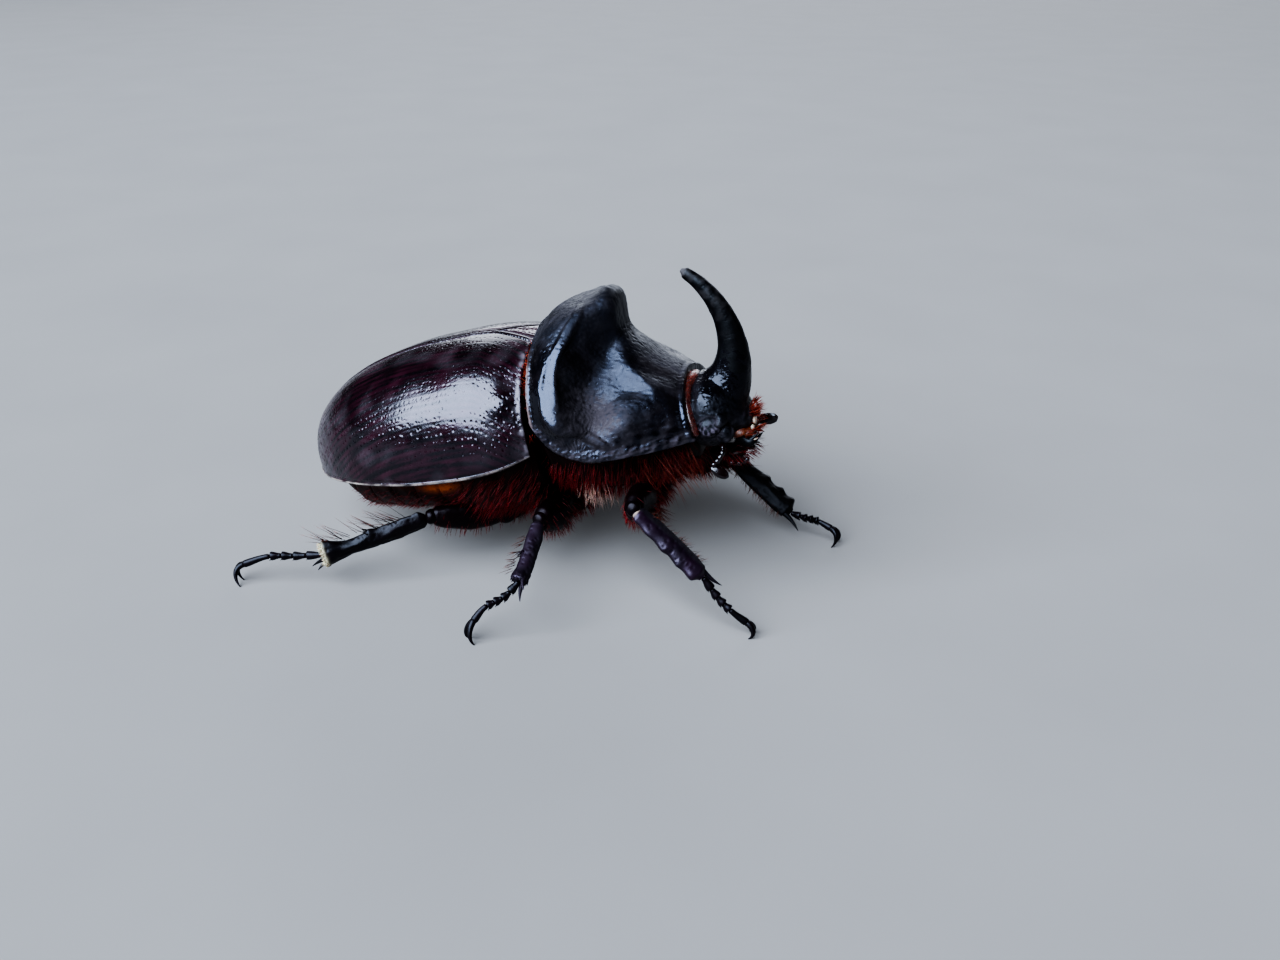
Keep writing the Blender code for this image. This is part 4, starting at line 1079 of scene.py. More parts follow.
def remeshed(shapes, voxel, smoothing):
    """One skin around overlapping shapes, as points and quads in the same millimetres."""
    points, faces = join(shapes)
    helper = make("remesh_helper", points / MM, faces, HEAD)
    skin = helper.modifiers.new("skin", "REMESH")
    skin.mode = "VOXEL"
    skin.voxel_size = voxel
    soften = helper.modifiers.new("soften", "SMOOTH")
    soften.factor = 0.5
    soften.iterations = smoothing
    result = helper.evaluated_get(bpy.context.evaluated_depsgraph_get()).to_mesh()
    out, normals = np.empty(len(result.vertices) * 3), np.empty(len(result.vertices) * 3)
    result.vertices.foreach_get("co", out)
    result.vertices.foreach_get("normal", normals)
    corners = np.empty(len(result.loops), int)
    result.loops.foreach_get("vertex_index", corners)
    helper_mesh = helper.data
    bpy.data.objects.remove(helper)
    bpy.data.meshes.remove(helper_mesh)
    return out.reshape(-1, 3), corners.reshape(-1, 4), normals.reshape(-1, 3)


def head():
    skull = loft([superellipse_ring(*station) for station in spline(HEAD_STATIONS, 6)])
    shapes = [skull, loft(horn_rings(0.0, 0.4, 30, 40)[0])]
    for _, sign in SIDES:
        brow = (sign * 2.9, -17.2, 0.55), (sign * 3.75, -16.75, 0.15)
        shapes.append(spine(*brow, 0.42, (0, 0, 0.1), sides=12, steps=10, point=0.5))
        shapes.append(lump((sign * 2.75, -17.0, -0.75), (0.7, 0.8, 0.8)))
    shapes.append(lump((0, -18.3, -0.4), (1.55, 0.65, 0.75)))
    points, quads, normals = remeshed(shapes, voxel=0.085, smoothing=6)
    ahead, up = -points[:, 1], points[:, 2]
    beside = np.abs(points[:, 0])
    # 1 at the eye's surface: a lid stands round it and a socket lies under it.
    eye = np.linalg.norm((np.abs(points * (1, 0, 0)) + points * (0, 1, 1) - EYE_CENTRE) / EYE_SIZES, axis=1)
    lid = 0.20 * smooth(16.0, 16.8, ahead) * smooth(-0.7, 0.2, up) * (0.7 + 0.5 * ripple(points, 0.8, 67))
    height = lid * bell(eye, 1.25, 0.28) - 0.22 * smooth(0.98, 0.75, eye)
    rough_zone = smooth(0.8, 1.6, beside) * smooth(3.6, 2.2, up) * smooth(15.3, 16.0, ahead)
    pitted = (0.25 + 0.75 * rough_zone) * smooth(1.05, 1.3, eye) * smooth(5.0, 3.6, up)
    height -= 0.040 * pits(points, 0.36, 0.17, 61, keep=0.85) * pitted
    height -= 0.02 * pits(points, 0.3, 0.15, 62) * smooth(5.0, 3.0, up)
    height += 0.02 * ripple(points, 1.4, 63) - 0.14 * bell(ahead, 15.1, 0.35) * smooth(1.5, 2.6, beside)
    dust = 0.45 * smooth(1.35, 1.0, eye) * (0.6 + 0.4 * ripple(points, 0.6, 64))
    dust += 0.40 * smooth(0.9, -0.9, up) * held(0.3 + 0.7 * ripple(points, 0.6, 65))
    dust += 0.10 * bell(ahead, 15.3, 0.4)
    matt = smooth(2.6, 1.6, up) * (0.6 + 0.4 * ripple(points, 0.5, 66))
    marks = grid_marks(points, dust=dust, matt=matt)
    points = trunk(points + normals * height[:, None])
    finish(make("head_capsule", points, [quads], HEAD, marks), "head", "head")


def horn():
    rings, t = horn_rings(HORN_FOOT, 1.0, 210, 64, less=0.12)
    along = np.broadcast_to(t[:, None], rings.shape[:2])
    grain = 0.015 * ripple(rings * (1.6, 1, 1), 1.3, 71) + 0.004 * ripple(rings, 0.45, 72)
    holes = pits(rings, 0.27, 0.10, 73, keep=0.7) * (0.016 + 0.03 * smooth(0.3, HORN_FOOT, along))
    worn = 0.06 * bell(along, 0.985, 0.012)
    rings = roughened(rings, holes + worn - grain * smooth(HORN_FOOT, 0.3, along))
    dust = 0.7 * smooth(0.955, 0.99, along) * (0.7 + 0.3 * ripple(rings, 0.5, 74))
    dust += 0.16 * smooth(0.35, 0.9, along) * held(ripple(rings, 0.8, 75) + 0.3)
    points, faces = loft(rings)
    marks = {"dust": np.append(held(dust).reshape(-1), (0, 1))}
    finish(make("head_horn", trunk(points), faces, HORN, marks), "horn", "horn")


def eyes():
    for name, sign in SIDES:
        centre = np.array(EYE_CENTRE) * (sign, 1, 1)
        points, faces = lump(centre, EYE_SIZES, 60, 80)
        height = 0.035 * ripple(points, 0.55, 83) - 0.010 * pits(points, 0.1, 0.06, 81)
        # Pale mottling, strongest low on the eye: dust, together with a painted sheen of the facets.
        dust = held(0.30 + 0.9 * ripple(points, 0.4, 82)) * smooth(0.9, -0.4, points[:, 2] - centre[2])
        points = points + unit(points - centre) * height[:, None]
        finish(make("eye_bead_" + name, trunk(points), faces, EYE, {"dust": dust}), "eyes", "eye_" + name)


def mouth():
    for name, sign in SIDES:
        side = (sign, 1, 1)
        hook = np.array(((1.35, -17.6, -1.95), (1.75, -18.6, -2.15), (0.95, -19.45, -1.75)))
        path = spline(hook * side, 12)
        size = 0.42 * (1 - 0.88 * np.linspace(0, 1, len(path)) ** 1.6)
        jaw = [loft(sweep(path, size, size, size * 0.6, (0, 0, 1), 20, 1.3))]
        jaw.append(spine((sign * 1.7, -18.4, -2.05), (sign * 1.5, -19.3, -1.45), 0.2, (0, 0, -0.05), 12))
        jaw.append(spine((sign * 1.5, -18.3, -2.3), (sign * 1.0, -19.15, -2.5), 0.17, (0, 0, 0.05), 12))
        finish(make("jaw_" + name, *join(jaw, trunk), HORN), "head", "mandible_" + name)
        route = ((0.85, -16.1, -3.7), (1.25, -16.8, -3.95), (1.4, -17.5, -3.9), (1.2, -18.1, -3.6))
        route = np.array(route) * side
        beads = [
            loft(spindle(start, end, wide, wide, (0, 0, 1), sides=14, bulge=0.7, ends=0.55, steps=12))
            for start, end, wide in zip(route, route[1:], (0.17, 0.19, 0.2))
        ]
        finish(make("palp_feeler_" + name, *join(beads, trunk), FEELER), "mouth", "palp_" + name)
    chin = [
        lump((0, -16.4, -3.1), (1.2, 1.5, 0.5), 30, 40),
        lump((0, -17.6, -2.7), (1.15, 0.75, 0.5), 24, 32),
    ]
    lips, lobes = [], []
    for _, sign in SIDES:
        chin.append(lump((sign * 1.2, -17.1, -3.1), (0.5, 0.8, 0.4), 20, 28))
        lips.append(lump((sign * 1.35, -17.6, -1.35), (0.55, 0.75, 0.42), 20, 28))
        lips.append(lump((sign * 0.95, -18.3, -1.55), (0.6, 0.6, 0.35), 20, 28))
        lobes.append(lump((sign * 0.75, -19.0, -0.75), (0.34, 0.18, 0.3), 18, 24))
        lobes.append(lump((sign * 1.25, -18.85, -1.1), (0.26, 0.16, 0.2), 18, 24))
        lobes.append(lump((sign * 1.25, -18.9, -1.95), (0.5, 0.3, 0.09), 18, 24))
    for name, lumps, material, seed, uneven, nodes in (
        ("chin", chin, BELLY, 92, 0.03, ()),
        ("lips", lips, LIPS, 91, 0.03, ("mouthparts",)),
        ("cream_lobes", lobes, LOBES, 0, 0.0, ()),
    ):
        points, faces = join(lumps)
        points = trunk(points + uneven * ripple(points, 0.7, seed)[:, None])
        finish(make(name, points, faces, material), "mouth", *nodes)


def antennae():
    for name, (corners, ends, shift, wide_way, half) in ANTENNAE.items():
        sign = dict(SIDES)[name]
        path = spline([(sign * side, -ahead, up) for ahead, side, up in corners], 16)
        share = arc(path[None], 1)[0]
        share = share / share[-1]
        beads = 0.13 + 0.085 * np.abs(np.sin(share * math.pi * 6)) ** 0.7
        beads = np.where(share < 0.3, 0.15 + 0.10 * np.sin(share / 0.3 * math.pi), beads)
        points, faces = loft(round_sweep(path, beads, (0.1, 0.2, 1), 16))
        made = make("feeler_stalk_" + name, trunk(points), faces, FEELER)
        finish(made, "antennae", "antenna_stalk_" + name)
        start, end = (np.array((sign * side, -ahead, up)) for ahead, side, up in ends)
        leaves = []
        for k in (-1, 0, 1):
            aside = k * np.array(shift)
            wide = half - 0.04 * abs(k)
            start_end = start + aside * 0.3, end + aside * 0.5
            leaf = spindle(*start_end, wide, 0.15, wide_way, sides=36, bulge=0.55, ends=0.5, steps=40)
            leaves.append(loft(leaf))
        finish(make("feeler_club_" + name, *join(leaves, trunk), FEELER), "antennae", "antenna_club_" + name)


# Legs


class Leg:
    """One leg's plan in the row frame."""

    def __init__(self, name, hip, knee, ankle, knuckles, claw, edge):
        self.name = name
        self.kind, side = name.split("_")
        self.sign = dict(SIDES)[side]
        self.hip, self.knee, self.ankle, self.claw = (foot(p, self.sign) for p in (hip, knee, ankle, claw))
        self.knuckles = [foot(p, self.sign) for p in knuckles]
        self.to_middle = COXA_TO_MIDDLE - hip[1]
        self.edge = np.array(edge, float)
        self.along = unit(self.ankle - self.knee)
        self.edge_way = square_to(self.edge, self.along)

    def add(self, piece, points, faces, material, solid, marks=None):
        made = make(f"{piece}_{self.name}", points, faces, material, marks)
        finish(made, "legs", f"{solid}_{self.name}")


LEGS = [Leg(name, *plan) for name, plan in LEG_PLANS.items()]


def toward(start, end, distance):
    return start + (end - start) * distance / np.linalg.norm(end - start)


def tibia_outline(kind, t, tooth_height):
    """Half widths of the shin towards its outer and inner edge, and its half thickness."""
    slim = 0.05 if kind == "hind" else 0.20
    base = 1.06 * TIBIA_HALF_WIDTH[kind] * (1 - slim * smooth(0.3, 0.0, t))
    deep = TIBIA_HALF_WIDTH[kind] * (0.5 + 0.2 * smooth(0.1, 0.6, t))
    if kind == "hind":
        base = base * (1 - 0.18 * bell(t, 0.74, 0.16))
    if kind == "front":
        outer = base.copy()
        for tooth in TOOTH_PLACES:
            outer += tooth_height * (bell(t, tooth, 0.055) + 0.45 * bell(t, tooth - 0.09, 0.08))
        return outer - 0.06 * smooth(0.2, 0.5, t), base * (1 - 0.1 * t), deep
    flare = TIBIA_FLARE[kind]
    ridge = (0.2 if kind == "hind" else 0.08) * held(1 - np.abs(t - 0.55) / 0.06) ** 1.2
    outer = base + ridge + flare * smooth(0.78, 1.0, t)
    inner = base + flare * 0.6 * smooth(0.72, 1.0, t)
    return outer, inner, deep + flare * 0.6 * smooth(0.8, 1.0, t) + 0.03 * bell(t, 0.55, 0.03)


def tibia(leg):
    """The shin with its teeth or collar, its spurs and its ridge of short spines."""
    knee, ankle, along, edge_way = leg.knee, leg.ankle, leg.along, leg.edge_way
    # The far front shin's darker shell is painted shade; the hind shins are darker in their own colour.
    front, dark = leg.kind == "front", leg.name in SHADED_AND_DARK_LEGS
    t = np.concatenate([np.linspace(0, 0.08, 8, endpoint=False), np.linspace(0.08, 1.0, 110)])
    start = knee + along * 0.1
    path = start + (ankle - start) * t[:, None] - edge_way * 0.12 * np.sin(math.pi * t)[:, None]
    outer, inner, deep = tibia_outline(leg.kind, t, TOOTH_HEIGHT.get(leg.name))
    closing = 0.55 * smooth(0.93, 1.0, t) if front else 0.12 * smooth(0.98, 1.0, t)
    rounding = np.sqrt(held(t / 0.07) + 0.003) * (1 - closing)
    rings = sweep(path, outer * rounding, inner * rounding, deep * rounding, leg.edge, 56, 1.25)
    dents = 0.045 * pits(rings, 0.40, 0.17, 101, keep=0.7) + 0.03 * ripple(rings, 1.1, 102)
    if dark:
        lengthwise = np.stack([along * 0.15, edge_way, np.cross(along, edge_way)], axis=1)
        dents += 0.035 * ripple((rings - start) @ lengthwise, 0.55, 103)
    shapes = [loft(roughened(rings, dents))]
    across = unit(np.cross(along, leg.edge))
    spread = SPUR_SPREAD[leg.kind]
    for share, lean in ((0.95, 0.1),) if front else ((0.9, 0.35), (0.65, -0.35)):
        root = ankle - along * 0.35 - edge_way * spread + across * lean * 0.5
        tip = root + along * SPUR_REACH[leg.kind] * share - edge_way * spread * 0.7 + across * lean * 0.9
        tip[2] = max(tip[2], 0.25)
        shapes.append(spine(root, tip, 0.24, edge_way * 0.12, 12, 14, 0.1))
    if not front:
        # A ring of short spines at the end, and a row of them across the ridge.
        for turn in TAU * (np.arange(14) + 0.5) / 14:
            way = edge_way * math.cos(turn) * outer[-1] * 0.85 + across * math.sin(turn) * deep[-1] * 0.85
            root = ankle - along * 0.12 + way
            shapes.append(spine(root, root + along * 0.26 + way * 0.06, 0.07, sides=6, steps=4))
        for lean in (-1.0, -0.5, 0.0, 0.5, 1.0):
            out = edge_way * outer[60] * (0.9 - 0.3 * abs(lean)) + across * lean * 0.3
            root = start + (ankle - start) * 0.56 + out
            shapes.append(spine(root, root + along * 0.35 + edge_way * 0.3, 0.07, sides=6, steps=4))
    points, faces = join(shapes)
    pale = bell((points - ankle) @ along, 0.10, 0.22) * (leg.kind == "hind")
    pale = pale + 0.7 * bell((points - knee) @ along, 0.34, 0.06) * front
    off = points - knee
    off = off - (off @ along)[:, None] * along
    # The inner mark is painted shade on the side of the shin that faces the trunk's middle.
    marks = {"pale": pale, "inner": smooth(0.25, -0.15, off[:, 0] * leg.sign)}
    leg.add("shin", points, faces, DARK_AND_SHADED_LIMB if dark else LIMB, "tibia", marks)


def femur(leg):
    hip, knee = leg.hip, leg.knee
    wide = FEMUR_HALF_WIDTH[leg.kind]
    ends = toward(hip, knee, 0.1), toward(knee, hip, -0.12)
    rings = spindle(*ends, wide, wide * 0.75, (0, 0, 1), sides=48, bulge=0.45, ends=0.5, steps=70, keel=0.9)
    rings = roughened(rings, 0.03 * pits(rings, 0.5, 0.2, 111, keep=0.5) + 0.03 * ripple(rings, 1.6, 112))
    shapes = [loft(rings)]
    for near, far, before, past, wide, deep, bulge in (
        (hip, knee, -0.7, 0.9, 0.85, 0.8, 0.5), (knee, hip, 0.8, -0.35, 0.62, 0.56, 0.6),
    ):
        ends = toward(near, far, before), toward(near, far, past)
        shapes.append(loft(spindle(*ends, wide, deep, (0, 0, 1), sides=32, bulge=bulge, ends=0.6, steps=24)))
    # The thighs' darker shell is painted shade under the trunk.
    leg.add("thigh", *join(shapes), SHADED_THIGH, "femur")
    return rings


def coxa(leg):
    inner = leg.hip + (leg.sign * leg.to_middle, 0.0, 0.35)
    wide, deep = COXA_SIZES[leg.kind]
    rings = spindle(inner, leg.hip, wide, deep, (0, 1, 0), sides=48, bulge=0.45, ends=0.6, steps=50)
    rings = roughened(rings, 0.03 * pits(rings, 0.5, 0.2, 121, keep=0.6) + 0.03 * ripple(rings, 1.3, 122))
    leg.add("hip", *loft(rings), BELLY, "coxa")
    return rings


def tarsus(leg):
    """Five foot segments, each widening towards a ring of short spines, the last long and slim."""
    path = spline([toward(leg.ankle, leg.knuckles[0], 0.05), *leg.knuckles], 40)
    run = arc(path[None], 1)[0]
    joints = np.array(FOOT_JOINTS) * run[-1]
    t = np.linspace(0, 1, 16)
    shapes = []
    for k in range(5):
        s = np.linspace(joints[k] + (0.02 if k else 0.0), joints[k + 1], 16)
        middle = np.stack([np.interp(s, run, path[:, axis]) for axis in range(3)], axis=1)
        size = 0.22 + ((0.36 if k < 4 else 0.30) - 0.22) * smooth(0.1, 0.85, t)
        size *= np.sqrt(held((1.03 - t) / 0.1)) * np.sqrt(held((t + 0.02) / 0.08))
        shapes.append(loft(sweep(middle, size, size, size * 0.9, (0.05, 0.1, 1), 20)))
        way = unit(middle[-1] - middle[0])
        for turn in (-0.7, 0.0, 0.7) if k < 4 else ():
            out = square_to(np.array((math.sin(turn), 0.0, -math.cos(turn))), way)
            root = middle[13] + out * 0.22
            shapes.append(spine(root, root + way * 0.2 + out * 0.17, 0.06, sides=6, steps=4))
    points, faces = join(shapes)
    points[:, 2] = np.maximum(points[:, 2], 0.02)
    leg.add("toes", points, faces, DARK_AND_SHADED_LIMB, "tarsus")


def claws(leg):
    """Two hooked claws that spread and touch the floor with their tips, and the bristles between them."""
    forward = unit(leg.knuckles[-1] - leg.knuckles[-2])
    across = unit(np.cross(forward, (0, 0, 1)))
    root = leg.knuckles[-1] - forward * 0.05
    t = np.linspace(0, 1, 30)
    size = 0.25 * (1 - 0.85 * t**1.6)
    shapes = []
    for side in (1, -1):
        end = leg.claw + across * side * 0.55 - forward * 0.1
        end[2] = 0.03
        bend = root + forward * 0.75 + across * side * 0.25 + (0, 0, 0.1)
        path = bezier((root, bend, (bend + end) / 2 + forward * 0.35, end), t)
        shapes.append(loft(round_sweep(path, size, forward, 14)))
    for reach, aside, drop, radius in (
        (0.4, 0, -0.15, 0.08), (0.65, 0.12, -0.1, 0.03), (0.65, -0.12, -0.1, 0.03),
    ):
        shapes.append(spine(root, root + forward * reach + across * aside + (0, 0, drop), radius))
    points, faces = join(shapes)
    points[:, 2] = np.maximum(points[:, 2], 0.0)
    leg.add("hooks", points, faces, DARK_AND_SHADED_LIMB, "claws")


# Hair


def scatter(grid, count, seed, accept):
    """Random places on a grid of trunk or floor points: roots, outward directions and grid places."""
    random = np.random.default_rng(seed)
    rows, columns = grid.shape[:2]
    closed = np.concatenate([grid, grid[:, :1]], axis=1)
    a, b, c = (g.reshape(-1, 3) for g in (closed[:-1, :-1], closed[:-1, 1:], closed[1:, :-1]))
    weight = np.linalg.norm(np.cross(b - a, c - a), axis=1) * accept((a + b + c) / 3)
    picked = random.choice(len(weight), size=count, p=weight / weight.sum())
    r1, r2 = random.uniform(0, 1, (2, count, 1))
    a, b, c = a[picked], b[picked], c[picked]
    roots = a + (b - a) * r1 + (c - a) * r2
    outward = unit(np.cross(c - a, b - a))
    middle = grid.mean(axis=1)[picked // columns]
    outward *= np.sign(np.einsum("ij,ij->i", outward, roots - middle))[:, None]
    return roots, outward, np.stack([(picked // columns) / rows, (picked % columns) / columns], axis=1)


def strands(roots, heads, lengths, width, bend, seed, curl, steps=4):
    """Tapered three-sided hairs as points, faces, marks and points per hair. Bend grows towards the tips."""
    random = np.random.default_rng(seed)
    count = len(roots)
    t = np.linspace(0, 1, steps + 1)
    heads = unit(heads)
    wander = random.normal(size=(count, 3)) * curl
    reach = lengths[:, None, None]
    path = roots[:, None] + heads[:, None] * reach * t[None, :, None]
    path = path + (np.asarray(bend, float) + wander)[:, None] * reach * (t**2)[None, :, None]
    side = unit(np.cross(heads, random.normal(size=(count, 3))))
    other = np.cross(heads, side)
    size = width * (1 - 0.8 * t**1.5)
    own_size = random.uniform(0.7, 1.25, (count, 1, 1, 1))
    angle = turns(3)
    ring = side[:, None, None] * np.cos(angle)[:, None] + other[:, None, None] * np.sin(angle)[:, None]
    points = path[:, :-1, None] + ring * size[:-1, None, None] * own_size
    points = np.concatenate([points.reshape(count, -1, 3), path[:, -1:]], axis=1)
    per = steps * 3 + 1
    last = (steps - 1) * 3
    triangles = [(last + j, last + (j + 1) % 3, per - 1) for j in range(3)] + [(2, 1, 0)]
    start = (np.arange(count) * per)[:, None, None]
    one_hair = grid_quads(steps, 3, wrap=True), np.array(triangles)
    faces = [(start + part).reshape(-1, part.shape[1]) for part in one_hair]
    along = np.append(np.repeat(t[:-1], 3), 1.0)
    own = np.repeat(random.uniform(0, 1, count) ** 2, per)
    return points.reshape(-1, 3), faces, {"along": np.tile(along, count), "own": own}, per


def coat(name, beds, material):
    """One piece of hair from several beds, each on its own tile of the map."""
    marks = {key: np.concatenate([b["marks"][key] for b in beds]) for key in ("along", "own")}
    made = make(name, *join([(b["points"], b["faces"]) for b in beds]), material, marks, turn=False)
    spots = []
    for k, bed in enumerate(beds):
        own = np.repeat(bed["places"], bed["per"], axis=0)
        corner = np.tile(np.arange(bed["per"]), len(bed["places"]))
        patch = np.stack([(corner % 3) / 3.0, (corner // 3) / (bed["per"] / 3.0)], axis=1) * 0.003
        spots.append(own * (0.96 / len(beds), 0.96) + ((k + 0.01) / len(beds), 0.01) + patch)
    layer = made.data.uv_layers.new(name="OFBake")
    corners = np.empty(len(made.data.loops), int)
    made.data.loops.foreach_get("vertex_index", corners)
    layer.data.foreach_set("uv", np.vstack(spots)[corners].astype(np.float32).reshape(-1))
    finish(made, "hair")


def bed(grid, count, seed, accept, lean, length, width, bend=(0, 0, 0), curl=0.1, rise=0.5, in_trunk=True):
    """Hairs rooted on a grid where accept is above 0: they rise along its normals and lean one way."""
    roots, outward, places = scatter(grid, count, seed, accept or (lambda points: np.ones(len(points))))
    random = np.random.default_rng(seed + 1)
    jitter = random.normal(size=(count, 3)) * 0.16
    heads = outward * rise + np.asarray(lean, float) + jitter
    lengths = length * random.uniform(0.6, 1.15, count)
    points, faces, marks, per = strands(roots, heads, lengths, width, bend, seed + 2, curl)
    if in_trunk:
        points = trunk(points)
    points[:, 2] = np.maximum(points[:, 2], 0.02)
    return {"points": points, "faces": faces, "marks": marks, "places": places, "per": per}


def line_grid(start, end, around=0.12, steps=24):
    """A thin tube of points along a line, as a bed for a row of bristles."""
    path = start + (end - start) * np.linspace(0, 1, steps)[:, None]
    return round_sweep(path, np.full(steps, around), (0.2, 0.3, 0.9), 8)


def below(points):
    return smooth(0.4, -0.8, points[:, 2])


def trunk_hair(first, thorax, abdomen):
    def low_side(p):
        return smooth(0.3, -0.6, p[:, 2]) * smooth(1.5, 3.0, np.abs(p[:, 0]))

    def between_legs(p):
        return below(p) * bell(-p[:, 1], 6.4, 0.9) * (p[:, 2] < -2.4)

    def tail_side(p):
        return smooth(-0.6, -1.6, p[:, 2])

    def at_throat(low, high):
        return lambda p: below(p) * smooth(low, high, -p[:, 1])

    beard, throat = at_throat(11.0, 12.5), at_throat(9.5, 11.5)
    flat, hang, back, down = (0, 0, 0), (0, 0.15, -0.3), (0, 0.3, -0.3), (0, -0.1, -0.2)
    for name, material, grid, count, seed, accept, lean, length, width, bend, rise in (
        ("fringe_prothorax", RUSTY, first, 2000, 201, low_side, (0, 0.25, -0.9), 0.95, 0.026, hang, 0.5),
        ("fringe_thorax", RUSTY, thorax, 1900, 211, below, (0, 0.7, -0.55), 1.1, 0.026, back, 0.4),
        ("fringe_abdomen", RUSTY, abdomen, 1500, 221, tail_side, (0, 0.9, -0.15), 0.7, 0.02, flat, 0.3),
        ("pale_hair_between_legs", PALE, first, 420, 231, between_legs, (0, 0.1, -1), 1.9, 0.022, flat, 0.3),
        ("throat_beard", RUSTY, first, 260, 241, beard, (0, -0.5, -0.8), 1.3, 0.026, down, 0.35),
        ("throat_bristles", EMBER, first, 150, 251, throat, (0, -0.35, -0.9), 2.2, 0.020, down, 0.6),
    ):
        coat(name, [bed(grid, count, seed, accept, lean, length, width, bend, rise=rise)], material)


def leg_bed(grid, count, seed, accept, lean, length, width, rise, bend=(0, 0, 0), curl=0.1):
    return bed(grid, count, seed, accept, lean, length, width, bend, curl, rise, in_trunk=False)


def leg_hair(skins):
    """Hair under the hips and thighs: skins holds each leg's rings of both."""
    beds = []
    for k, (kind, grid) in enumerate(skins):
        count = {"front": 420, "mid": 240, "hind": 90}[kind]
        lean = {"front": (0, -0.5, -0.6), "mid": (0, -0.2, -0.7), "hind": (0, 0.3, -0.7)}[kind]
        low = grid[..., 2].mean()

        def under(p, low=low):
            return smooth(low + 0.9, low - 0.6, p[:, 2]) + 0.06

        beds.append(leg_bed(grid, count, 300 + 10 * k, under, lean, 0.75, 0.024, 0.6, bend=(0, 0, -0.2)))
    coat("leg_hair", beds, RUSTY)


def leg_bristles():
    """Rows of bristles: under the front thighs and shins, and on the other shins' outer edge."""
    beds = []
    for k, leg in enumerate(LEGS):
        hip, knee, ankle, along, edge_way = leg.hip, leg.knee, leg.ankle, leg.along, leg.edge_way
        if leg.kind == "front":
            line = line_grid(hip + (knee - hip) * 0.35 - (0, 0.9, 0.4), knee - (0, 0.9, 0.5))
            beds.append(leg_bed(line, 120, 400 + k * 10, None, (0, -0.9, -0.8), 1.5, 0.03, 0.4))
            line = line_grid(knee + along * 1.0 - edge_way * 0.6, ankle - along * 0.8 - edge_way * 0.7)
            way = along * 0.6 - edge_way * 0.9
            beds.append(leg_bed(line, 90, 401 + k * 10, None, way, 0.95, 0.028, 0.2))
            continue
        line = line_grid(knee + along * 1.6 + edge_way * 0.55, ankle - along * 0.6 + edge_way * 0.8)
        count, reach = (46, 2.5) if leg.kind == "hind" else (26, 1.0)
        way = edge_way * 0.9 + along * 0.75
        beds.append(leg_bed(line, count, 402 + k * 10, None, way, reach, 0.024, 0.05, curl=0.05))
    coat("leg_bristles", beds, DARK)


def collar_fringe():
    """The pale fringe round the end of each hind shin."""
    beds = []
    for k, leg in enumerate(leg for leg in LEGS if leg.kind == "hind"):
        path = leg.ankle + leg.along * (np.array((-0.15, -0.1, -0.05))[:, None])
        ring = sweep(path, 0.95, 0.95, 0.62, (0, 0, 1), 40)
        beds.append(leg_bed(ring, 420, 500 + 10 * k, None, leg.along, 0.36, 0.035, 0.2, curl=0.03))
    coat("shin_collar_fringe", beds, CREAM)


def head_hair():
    def rooted(centre, sizes):
        return ellipsoid(centre, sizes, 14, 24, 0.1)

    brow, lip = rooted((0, -18.75, -0.1), (1.1, 0.3, 0.5)), rooted((0, -18.4, -1.5), (1.7, 0.7, 0.5))
    beds = [
        bed(brow, 130, 601, lambda p: (p[:, 1] < -18.7) + 0.0, (0, -0.8, 0.5), 0.85, 0.028, rise=0.4),
        bed(lip, 130, 611, None, (0, -0.8, 0.1), 0.8, 0.028, rise=0.4),
    ]
    coat("mouth_bristles", beds, ORANGE)
    chin = rooted((0, -17.2, -3.0), (2.0, 1.3, 0.7))
    beard = bed(chin, 260, 621, lambda p: (p[:, 2] < -2.6) + 0.05, (0, -0.6, -0.6), 0.95, 0.024, rise=0.5)
    coat("chin_beard", [beard], RUSTY)


def waist_hair():
    """The orange fringe in the gap between the pronotum and the wing cases."""
    angle = np.linspace(-1.25, 1.25, 80)
    neck = [around(8.15, angle, ahead) for ahead in np.linspace(ELYTRA_FRONT + 0.1, PRONOTUM_REAR + 0.2, 4)]
    neck = np.array(neck)
    fringe = bed(
        neck, 900, 631, lambda p: bell(np.abs(p[:, 0]), 4.6, 1.3), (0, 0.25, 0), 0.7, 0.026, rise=0.9
    )
    coat("waist_fringe", [fringe], ORANGE)


# Stage


def area_light(name, turn, lift, distance, size, power, colour):
    """A rectangle of light in the sky, facing the beetle."""
    turn, lift = math.radians(turn), math.radians(lift)
    way = (math.sin(turn) * math.cos(lift), -math.cos(turn) * math.cos(lift), math.sin(lift))
    place, target = Vector(way) * distance, Vector(LIGHT_TARGET)
    data = bpy.data.lights.new(name, "AREA")
    data.shape = "RECTANGLE"
    data.size, data.size_y = size[0] * MM, size[1] * MM
    data.energy = power
    data.color = colour
    made = bpy.data.objects.new(name, data)
    made.location = place * MM
    made.rotation_euler = (target - place).to_track_quat("-Z", "Y").to_euler()
    bpy.context.scene.collection.objects.link(made)


def studio_world():
    """A pale backdrop for the camera, and a much darker world for the shells."""
    world = bpy.data.worlds.new("studio")
    world.use_nodes = True
    nodes = Nodes(world.node_tree)
    back = world.node_tree.nodes["Background"]
    nodes.feed(back.inputs["Color"], (0.62, 0.70, 0.82))
    nodes.feed(back.inputs["Strength"], 0.06)
    backdrop = nodes.add("Background", {"Color": (0.86, 0.92, 1.0), "Strength": 0.6})
    seen = nodes.add("LightPath").outputs["Is Camera Ray"]
    either = nodes.add("MixShader", {0: seen, 1: back.outputs[0], 2: backdrop.outputs[0]})
    nodes.feed(world.node_tree.nodes["World Output"].inputs["Surface"], either.outputs[0])
    return world


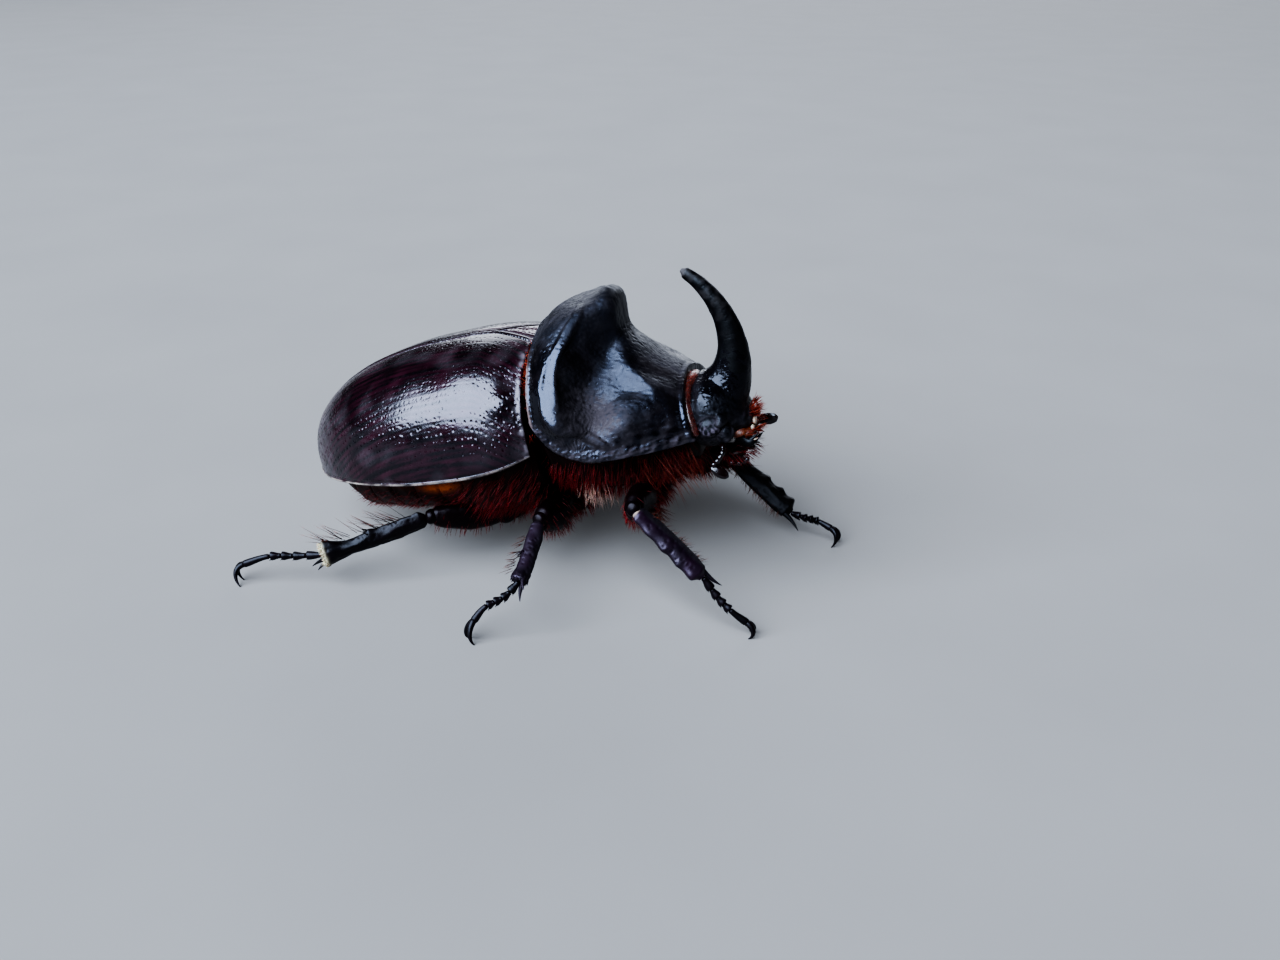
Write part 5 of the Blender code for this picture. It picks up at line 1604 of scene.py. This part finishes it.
def stage():
    scene = bpy.context.scene
    scene.world = studio_world()
    ground = Look("studio_floor")
    colour = ground.mix(ground.noise(0.05), (0.124, 0.116, 0.113), (0.143, 0.134, 0.130))
    ground.shade({"Base Color": colour, "Roughness": 0.85})
    corners = FLOOR_HALF_SIZE * np.array([(-1, -1, 0), (1, -1, 0), (1, 1, 0), (-1, 1, 0)])
    floor = make("studio_ground", corners, [np.array([[0, 1, 2, 3]])], ground.material, turn=False)
    for name, plan in LIGHTS.items():
        area_light(name, *plan)
    camera = bpy.data.cameras.new("camera")
    camera.sensor_width = CAMERA_SENSOR
    camera.lens = CAMERA_LENS
    camera.clip_start = 0.005
    camera.clip_end = 20.0
    view = bpy.data.objects.new("camera", camera)
    view.location = Vector(CAMERA_PLACE) * MM
    view.rotation_euler = Vector(CAMERA_WAY).to_track_quat("-Z", "Y").to_euler()
    scene.collection.objects.link(view)
    scene.camera = view
    scene.view_settings.look = "AgX - High Contrast"


def build_legs():
    skins = []
    for leg in LEGS:
        skins += [(leg.kind, coxa(leg)), (leg.kind, femur(leg))]
        tibia(leg)
        tarsus(leg)
        claws(leg)
    return skins


stage()
for wing_name, wing_sign in SIDES:
    wing_case(wing_name, wing_sign)
scutellum()
pronotum()
neck_membrane()
thorax_rings = belly_plate(
    "thorax_plates", "thorax_underside", ELYTRA_FRONT - 0.1, THORAX_REAR, THORAX_DEPTH, THORAX_DEPTH, 2, 55
)
abdomen_rings = belly_plate(
    "abdomen_plates", "abdomen", THORAX_REAR + 0.1, ABDOMEN_REAR, ABDOMEN_DEPTH, ABDOMEN_DEPTH * 0.9, 5, 57
)
belly_plate("tail_plate", "pygidium", ABDOMEN_REAR + 0.1, PYGIDIUM_REAR, ABDOMEN_DEPTH * 0.88, 1.0, 1, 59)
prothorax_rings = prothorax()
head()
horn()
eyes()
mouth()
antennae()
leg_skins = build_legs()
trunk_hair(prothorax_rings, thorax_rings, abdomen_rings)
leg_hair(leg_skins)
leg_bristles()
collar_fringe()
head_hair()
waist_hair()
